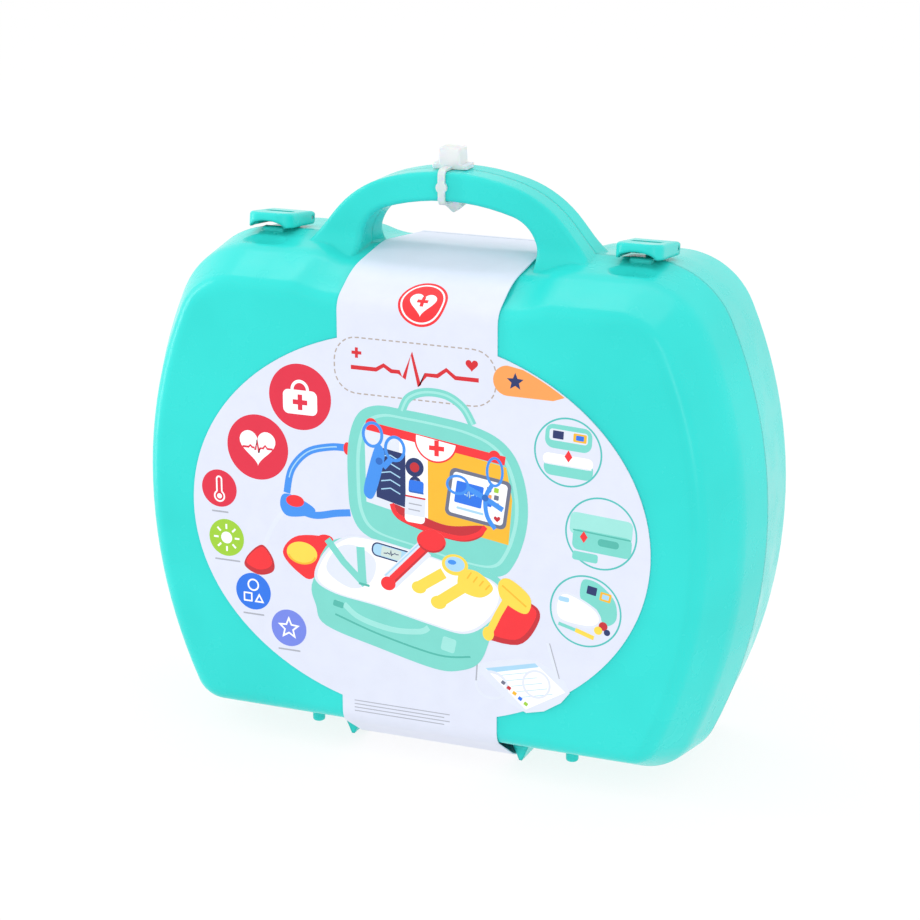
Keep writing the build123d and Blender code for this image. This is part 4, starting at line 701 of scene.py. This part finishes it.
# %% Three round views on the right, and the small lines on the bottom flap
views = [("ring", 1, stroke(disc(64.2, 139.9, 13.5, steps=64), 0.7, closed=True)),
         ("ring", 1, stroke(disc(78.0, 108.9, 14.3, steps=64), 0.7, closed=True)),
         ("ring", 1, stroke(disc(72.1, 76.6, 14.4, steps=64), 0.7, closed=True)),
         ("teal", 1, block(64.4, 145.6, 19.0, 9.6, 3.4, -3)), ("pale", 2, block(64.4, 146.2, 15.6, 4.6, 1.2, -3)),
         ("navy", 3, block(60.2, 146.5, 4.4, 3.2, 0.3, -3)), ("amber", 3, block(69.0, 146.0, 5.4, 3.4, 0.5, -3)),
         ("blue", 4, block(69.0, 146.0, 3.2, 2.0, 0.3, -3)), ("teal", 1, block(64.4, 133.4, 20.0, 7.0, 3.0, -3)),
         ("white", 2, block(64.2, 136.4, 20.4, 4.6, 2.2, -3)), ("pale", 3, stroke([(54.6, 134.9), (73.8, 133.9)], 0.5)),
         ("scarlet", 4, [(64.4, 136.0), (66.0, 138.2), (64.4, 140.8), (62.8, 138.2)]),
         ("teal_light", 1, block(78.0, 111.4, 25.4, 9.0, 2.4, -4)), ("teal", 2, block(78.4, 105.0, 24.0, 8.4, 2.4, -4)),
         ("teal_dark", 3, stroke([(66.6, 109.4), (90.0, 107.6)], 0.6)),
         ("teal_dark", 3, block(81.0, 105.2, 8.6, 3.0, 1.4, -4)),
         ("teal", 1, block(71.6, 98.8, 10.4, 3.6, 1.0, -4)),
         ("scarlet", 4, [(71.0, 104.4), (72.6, 106.8), (71.0, 109.2), (69.4, 106.8)]),
         ("teal", 1, smooth([(70.0, 87.0), (72.0, 89.8), (78.0, 88.2), (84.0, 82.2), (84.6, 74.6), (80.0, 71.8),
                             (76.6, 78.0), (70.4, 81.0)])),
         ("navy", 2, block(74.6, 85.4, 4.0, 3.4, 0.3, -10)), ("amber", 2, block(80.2, 83.4, 4.6, 3.6, 0.5, -10)),
         ("sky", 3, block(80.2, 83.4, 2.8, 2.0, 0.3, -10)),
         ("pale", 1, smooth([(60, 80), (64, 83.6), (75, 79.0), (78.6, 73.6), (74, 69.8), (61, 71.4)])),
         ("white", 2, smooth([(60.8, 79.4), (64.4, 82.6), (74.6, 78.2), (77.6, 73.6), (73.4, 70.8), (61.8, 72.4)])),
         ("sky", 3, block(63.2, 80.4, 4.4, 2.0, 0.8, -6)), ("teal", 2, stroke([(61.0, 70.2), (73.0, 67.0)], 1.4)),
         ("yellow", 3, stroke([(68.0, 68.4), (75.6, 66.0)], 1.8)), ("cherry", 3, disc(79.4, 71.4, 1.8)),
         ("yellow", 4, disc(77.4, 69.4, 1.7)), ("navy", 3, disc(81.0, 69.0, 1.3))]
for i in range(4):
    views.append(("caption", 1, block(-6.0 - 1.2 * (i % 2), 24.4 - 1.5 * i, 42.0 - 2.4 * (i % 2), 0.42, 0.2)))
print_on("print_views", "front_half", views, on_sleeve, "sleeve")

# %% [markdown]
# ## Dashes round the title
# A dashed outline is one small bar repeated along a path, so Geometry Nodes make it: the path is cut into even steps
# and each step gets a bar that follows the line. The result is turned into a plain mesh, one for the front half.

# %% Dashes
PITCH_MM, DASH_MM, DASH_WIDE_MM = 2.9, 1.8, 0.55

tree = bpy.data.node_groups.new("dashed_line", "GeometryNodeTree")
tree.is_modifier = True
face = tree.interface
face.new_socket("Geometry", in_out="OUTPUT", socket_type="NodeSocketGeometry")
face.new_socket("Geometry", in_out="INPUT", socket_type="NodeSocketGeometry")
for label in ("Pitch", "Dash length", "Dash width", "Dash thickness"):
    face.new_socket(label, in_out="INPUT", socket_type="NodeSocketFloat")
face.new_socket("Ink", in_out="INPUT", socket_type="NodeSocketColor")
face.new_socket("Finish", in_out="INPUT", socket_type="NodeSocketMaterial")

given = add(tree, "NodeGroupInput").outputs
steps = add(tree, "GeometryNodeResampleCurve", {"Curve": given["Geometry"], "Length": given["Pitch"]}, mode="LENGTH")
size = add(tree, "ShaderNodeCombineXYZ", {"X": given["Dash length"], "Y": given["Dash thickness"],
                                          "Z": given["Dash width"]})
bar = add(tree, "GeometryNodeMeshCube", {"Size": size.outputs["Vector"]})
along = add(tree, "GeometryNodeInputTangent")
facing = add(tree, "FunctionNodeAlignRotationToVector", {"Vector": along.outputs["Tangent"]}, axis="X", pivot_axis="Y")
bars = add(tree, "GeometryNodeInstanceOnPoints", {"Points": steps.outputs["Curve"], "Instance": bar.outputs["Mesh"],
                                                  "Rotation": facing.outputs["Rotation"]})
real = add(tree, "GeometryNodeRealizeInstances", {"Geometry": bars.outputs["Instances"]})
inked = add(tree, "GeometryNodeStoreNamedAttribute", {"Geometry": real.outputs["Geometry"], "Name": "ink"},
            data_type="FLOAT_COLOR", domain="CORNER")
tree.links.new(given["Ink"], inked.inputs["Value"])
finished = add(tree, "GeometryNodeSetMaterial", {"Geometry": inked.outputs["Geometry"], "Material": given["Finish"]})
add(tree, "NodeGroupOutput", {"Geometry": finished.outputs["Geometry"]})

outline = bpy.data.curves.new("title_outline", "CURVE")
outline.dimensions = "3D"
line = outline.splines.new("POLY")
around = block(*TITLE, 68.2, 22.6, 9.5)
line.points.add(len(around) - 1)
for point, (x, z) in zip(line.points, around):
    point.co = (x * MM, (FACE_Y - PLATE_MM / 2) * MM, z * MM, 1)
line.use_cyclic_u = True
guide = bpy.data.objects.new("title_outline", outline)
bpy.context.collection.objects.link(guide)
dashing = guide.modifiers.new("dashes", "NODES")
dashing.node_group = tree
values = {"Pitch": PITCH_MM * MM, "Dash length": DASH_MM * MM, "Dash width": DASH_WIDE_MM * MM,
          "Dash thickness": PLATE_MM * MM, "Ink": linear(INK["line"]), "Finish": print_ink}
for item in face.items_tree:
    if item.item_type == "SOCKET" and item.in_out == "INPUT" and item.name in values:
        dashing[item.identifier] = values[item.name]
ready = guide.evaluated_get(bpy.context.evaluated_depsgraph_get())
dash_mesh = bpy.data.meshes.new_from_object(ready)
bpy.data.objects.remove(guide)
dashes = bpy.data.objects.new("print_dashes", dash_mesh)
bpy.context.collection.objects.link(dashes)
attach(dashes, "front_half")
print("dashes", len(dash_mesh.polygons) // 6)

# %% [markdown]
# ## Prints inside the case
# Behind the wall tools lies a printed board with play screens, the thermometer has a printed display, the bottle has
# a label and the chart has rows to fill in. They are drawn with the same plates, laid on the walls and round the
# bottle.

# %% The printed backboard
BOARD_FACE_Y, GAUGE_FACE_Y, CHART_FACE_Y = 42.0, -4.0, -42.2

board = [
    ("pale", 0, block(-62.0, 131.0, 74.0, 62.0, 3.0)), ("navy", 1, block(-54.0, 124.0, 46.0, 42.0, 2.0)),
    ("white", 0, block(0.0, 131.0, 46.0, 62.0, 0.1)), ("amber", 0, block(63.0, 131.0, 76.0, 62.0, 3.0)),
    ("slate", 1, block(63.0, 125.0, 64.0, 44.0, 5.0)), ("white", 2, block(63.0, 125.0, 57.0, 37.0, 3.0)),
    ("blue", 3, block(54.0, 127.0, 30.0, 24.0, 1.2)), ("sky", 4, stroke(pulse(54.0, 126.0, 27.0, 7.0), 0.9)),
    ("sky", 3, block(54.0, 111.5, 30.0, 2.0, 0.8)), ("cherry", 3, heart(83.0, 112.0, 6.0)),
    ("navy", 1, disc(14.0, 138.0, 6.2)), ("navy", 1, disc(14.0, 126.0, 4.6)), ("navy", 1, disc(14.0, 117.0, 4.2)),
    ("cherry", 2, disc(14.0, 138.0, 3.0)), ("slate", 2, disc(14.0, 126.0, 2.4)), ("slate", 2, disc(14.0, 117.0, 2.2)),
    ("sky", 2, stroke([(-54.0, 142.0), (-54.0, 106.0)], 1.6)),
]
for i in range(6):
    rib = disc(-54.0, 136.0 - 5.4 * i, 13.0 + 0.9 * i, 5.0, 200, 340, 20)
    board.append(("sky", 2, stroke(rib[:9], 0.9)))
    board.append(("sky", 2, stroke(rib[12:], 0.9)))
for i in range(12):
    board.append((("slate", "lime", "orange")[i % 3], 3, block(74.0 + 5.5 * (i % 3), 137.5 - 5.0 * (i // 3), 3.8, 3.4,
                                                               0.5)))
print_on("print_backboard", "rear_half", board, on_wall(BOARD_FACE_Y, -1), "backboard")

# %% The display, the label and the chart
def digit(shape, x, z, wide, high):
    """The strokes of one seven-segment digit."""
    ends = {"a": ((0, 1), (1, 1)), "b": ((1, 1), (1, 0.5)), "c": ((1, 0.5), (1, 0)), "d": ((0, 0), (1, 0)),
            "e": ((0, 0.5), (0, 0)), "f": ((0, 1), (0, 0.5)), "g": ((0, 0.5), (1, 0.5))}
    return [("navy", 3, stroke([(x + wide * u, z + high * v) for u, v in ends[letter]], 0.5)) for letter in shape]


display = [("navy", 0, block(40.0, 182.0, 56.0, 14.0, 5.5)), ("sky", 1, block(40.0, 182.0, 54.4, 12.4, 4.8)),
           ("navy", 1.5, block(40.0, 182.0, 27.0, 11.0, 1.5)), ("screen", 2, block(40.0, 182.0, 26.0, 10.0, 1.0)),
           ("navy", 3, disc(41.6, 179.0, 0.5, steps=12)), ("blue", 2, disc(59.0, 182.0, 2.2)),
           ("scarlet", 2, disc(20.6, 182.0, 2.0))]
for shape, x in (("abcdg", 30.5), ("acdefg", 36.2), ("acdfg", 43.2)):
    display += digit(shape, x, 179.0, 3.4, 6.2)
# The gauge faces the back, so its drawing is turned left to right.
print_on("print_display", "front_half", display, lambda u, v, rise: (-u, GAUGE_FACE_Y + rise, v),
         "gauge")

BOTTLE_X, BOTTLE_Y, BOTTLE_RADIUS = -8.0, 31.0, 8.4
label = [("pale", 0, block(0, 113.0, 44.0, 17.0, 0.2)), ("deep_red", 1, block(0, 120.4, 44.0, 1.0, 0.1)),
         ("orange", 1, block(-1.0, 115.4, 16.0, 1.5, 0.5)), ("caption", 1, block(0.0, 111.8, 15.0, 0.7, 0.3)),
         ("caption", 1, block(0.0, 109.4, 13.0, 0.7, 0.3)), ("orange", 1, block(0, 105.4, 44.0, 0.7, 0.1))]


def round_bottle(u, v, rise):
    """Lays the label round the bottle, its middle to the front."""
    reach = BOTTLE_RADIUS + rise
    return BOTTLE_X + reach * math.sin(u / BOTTLE_RADIUS), BOTTLE_Y - reach * math.cos(u / BOTTLE_RADIUS), v


label_cuts = [-22 + 0.7 * i for i in range(64)]
print_on("print_label", "rear_half", label, round_bottle, "bottle", cuts_u=label_cuts)

chart = [("white", 0, block(0, 119, 86, 122, 2.0)), ("sky", 1, block(0, 172, 80, 9, 1.5))]
for i in range(8):
    chart.append(("caption", 1, block(6.0, 160.0 - 10.0 * i, 60.0, 0.6, 0.2)))
for i, ink in enumerate(("slate", "cherry", "amber", "blue", "lime")):
    chart.append((ink, 1, block(-34.0 + 17.0 * i, 68.0, 9.0, 9.0, 1.0)))
print_on("print_chart", "front_half", chart, on_wall(CHART_FACE_Y, 1), "chart")

# %% Finish
bpy.context.view_layer.update()
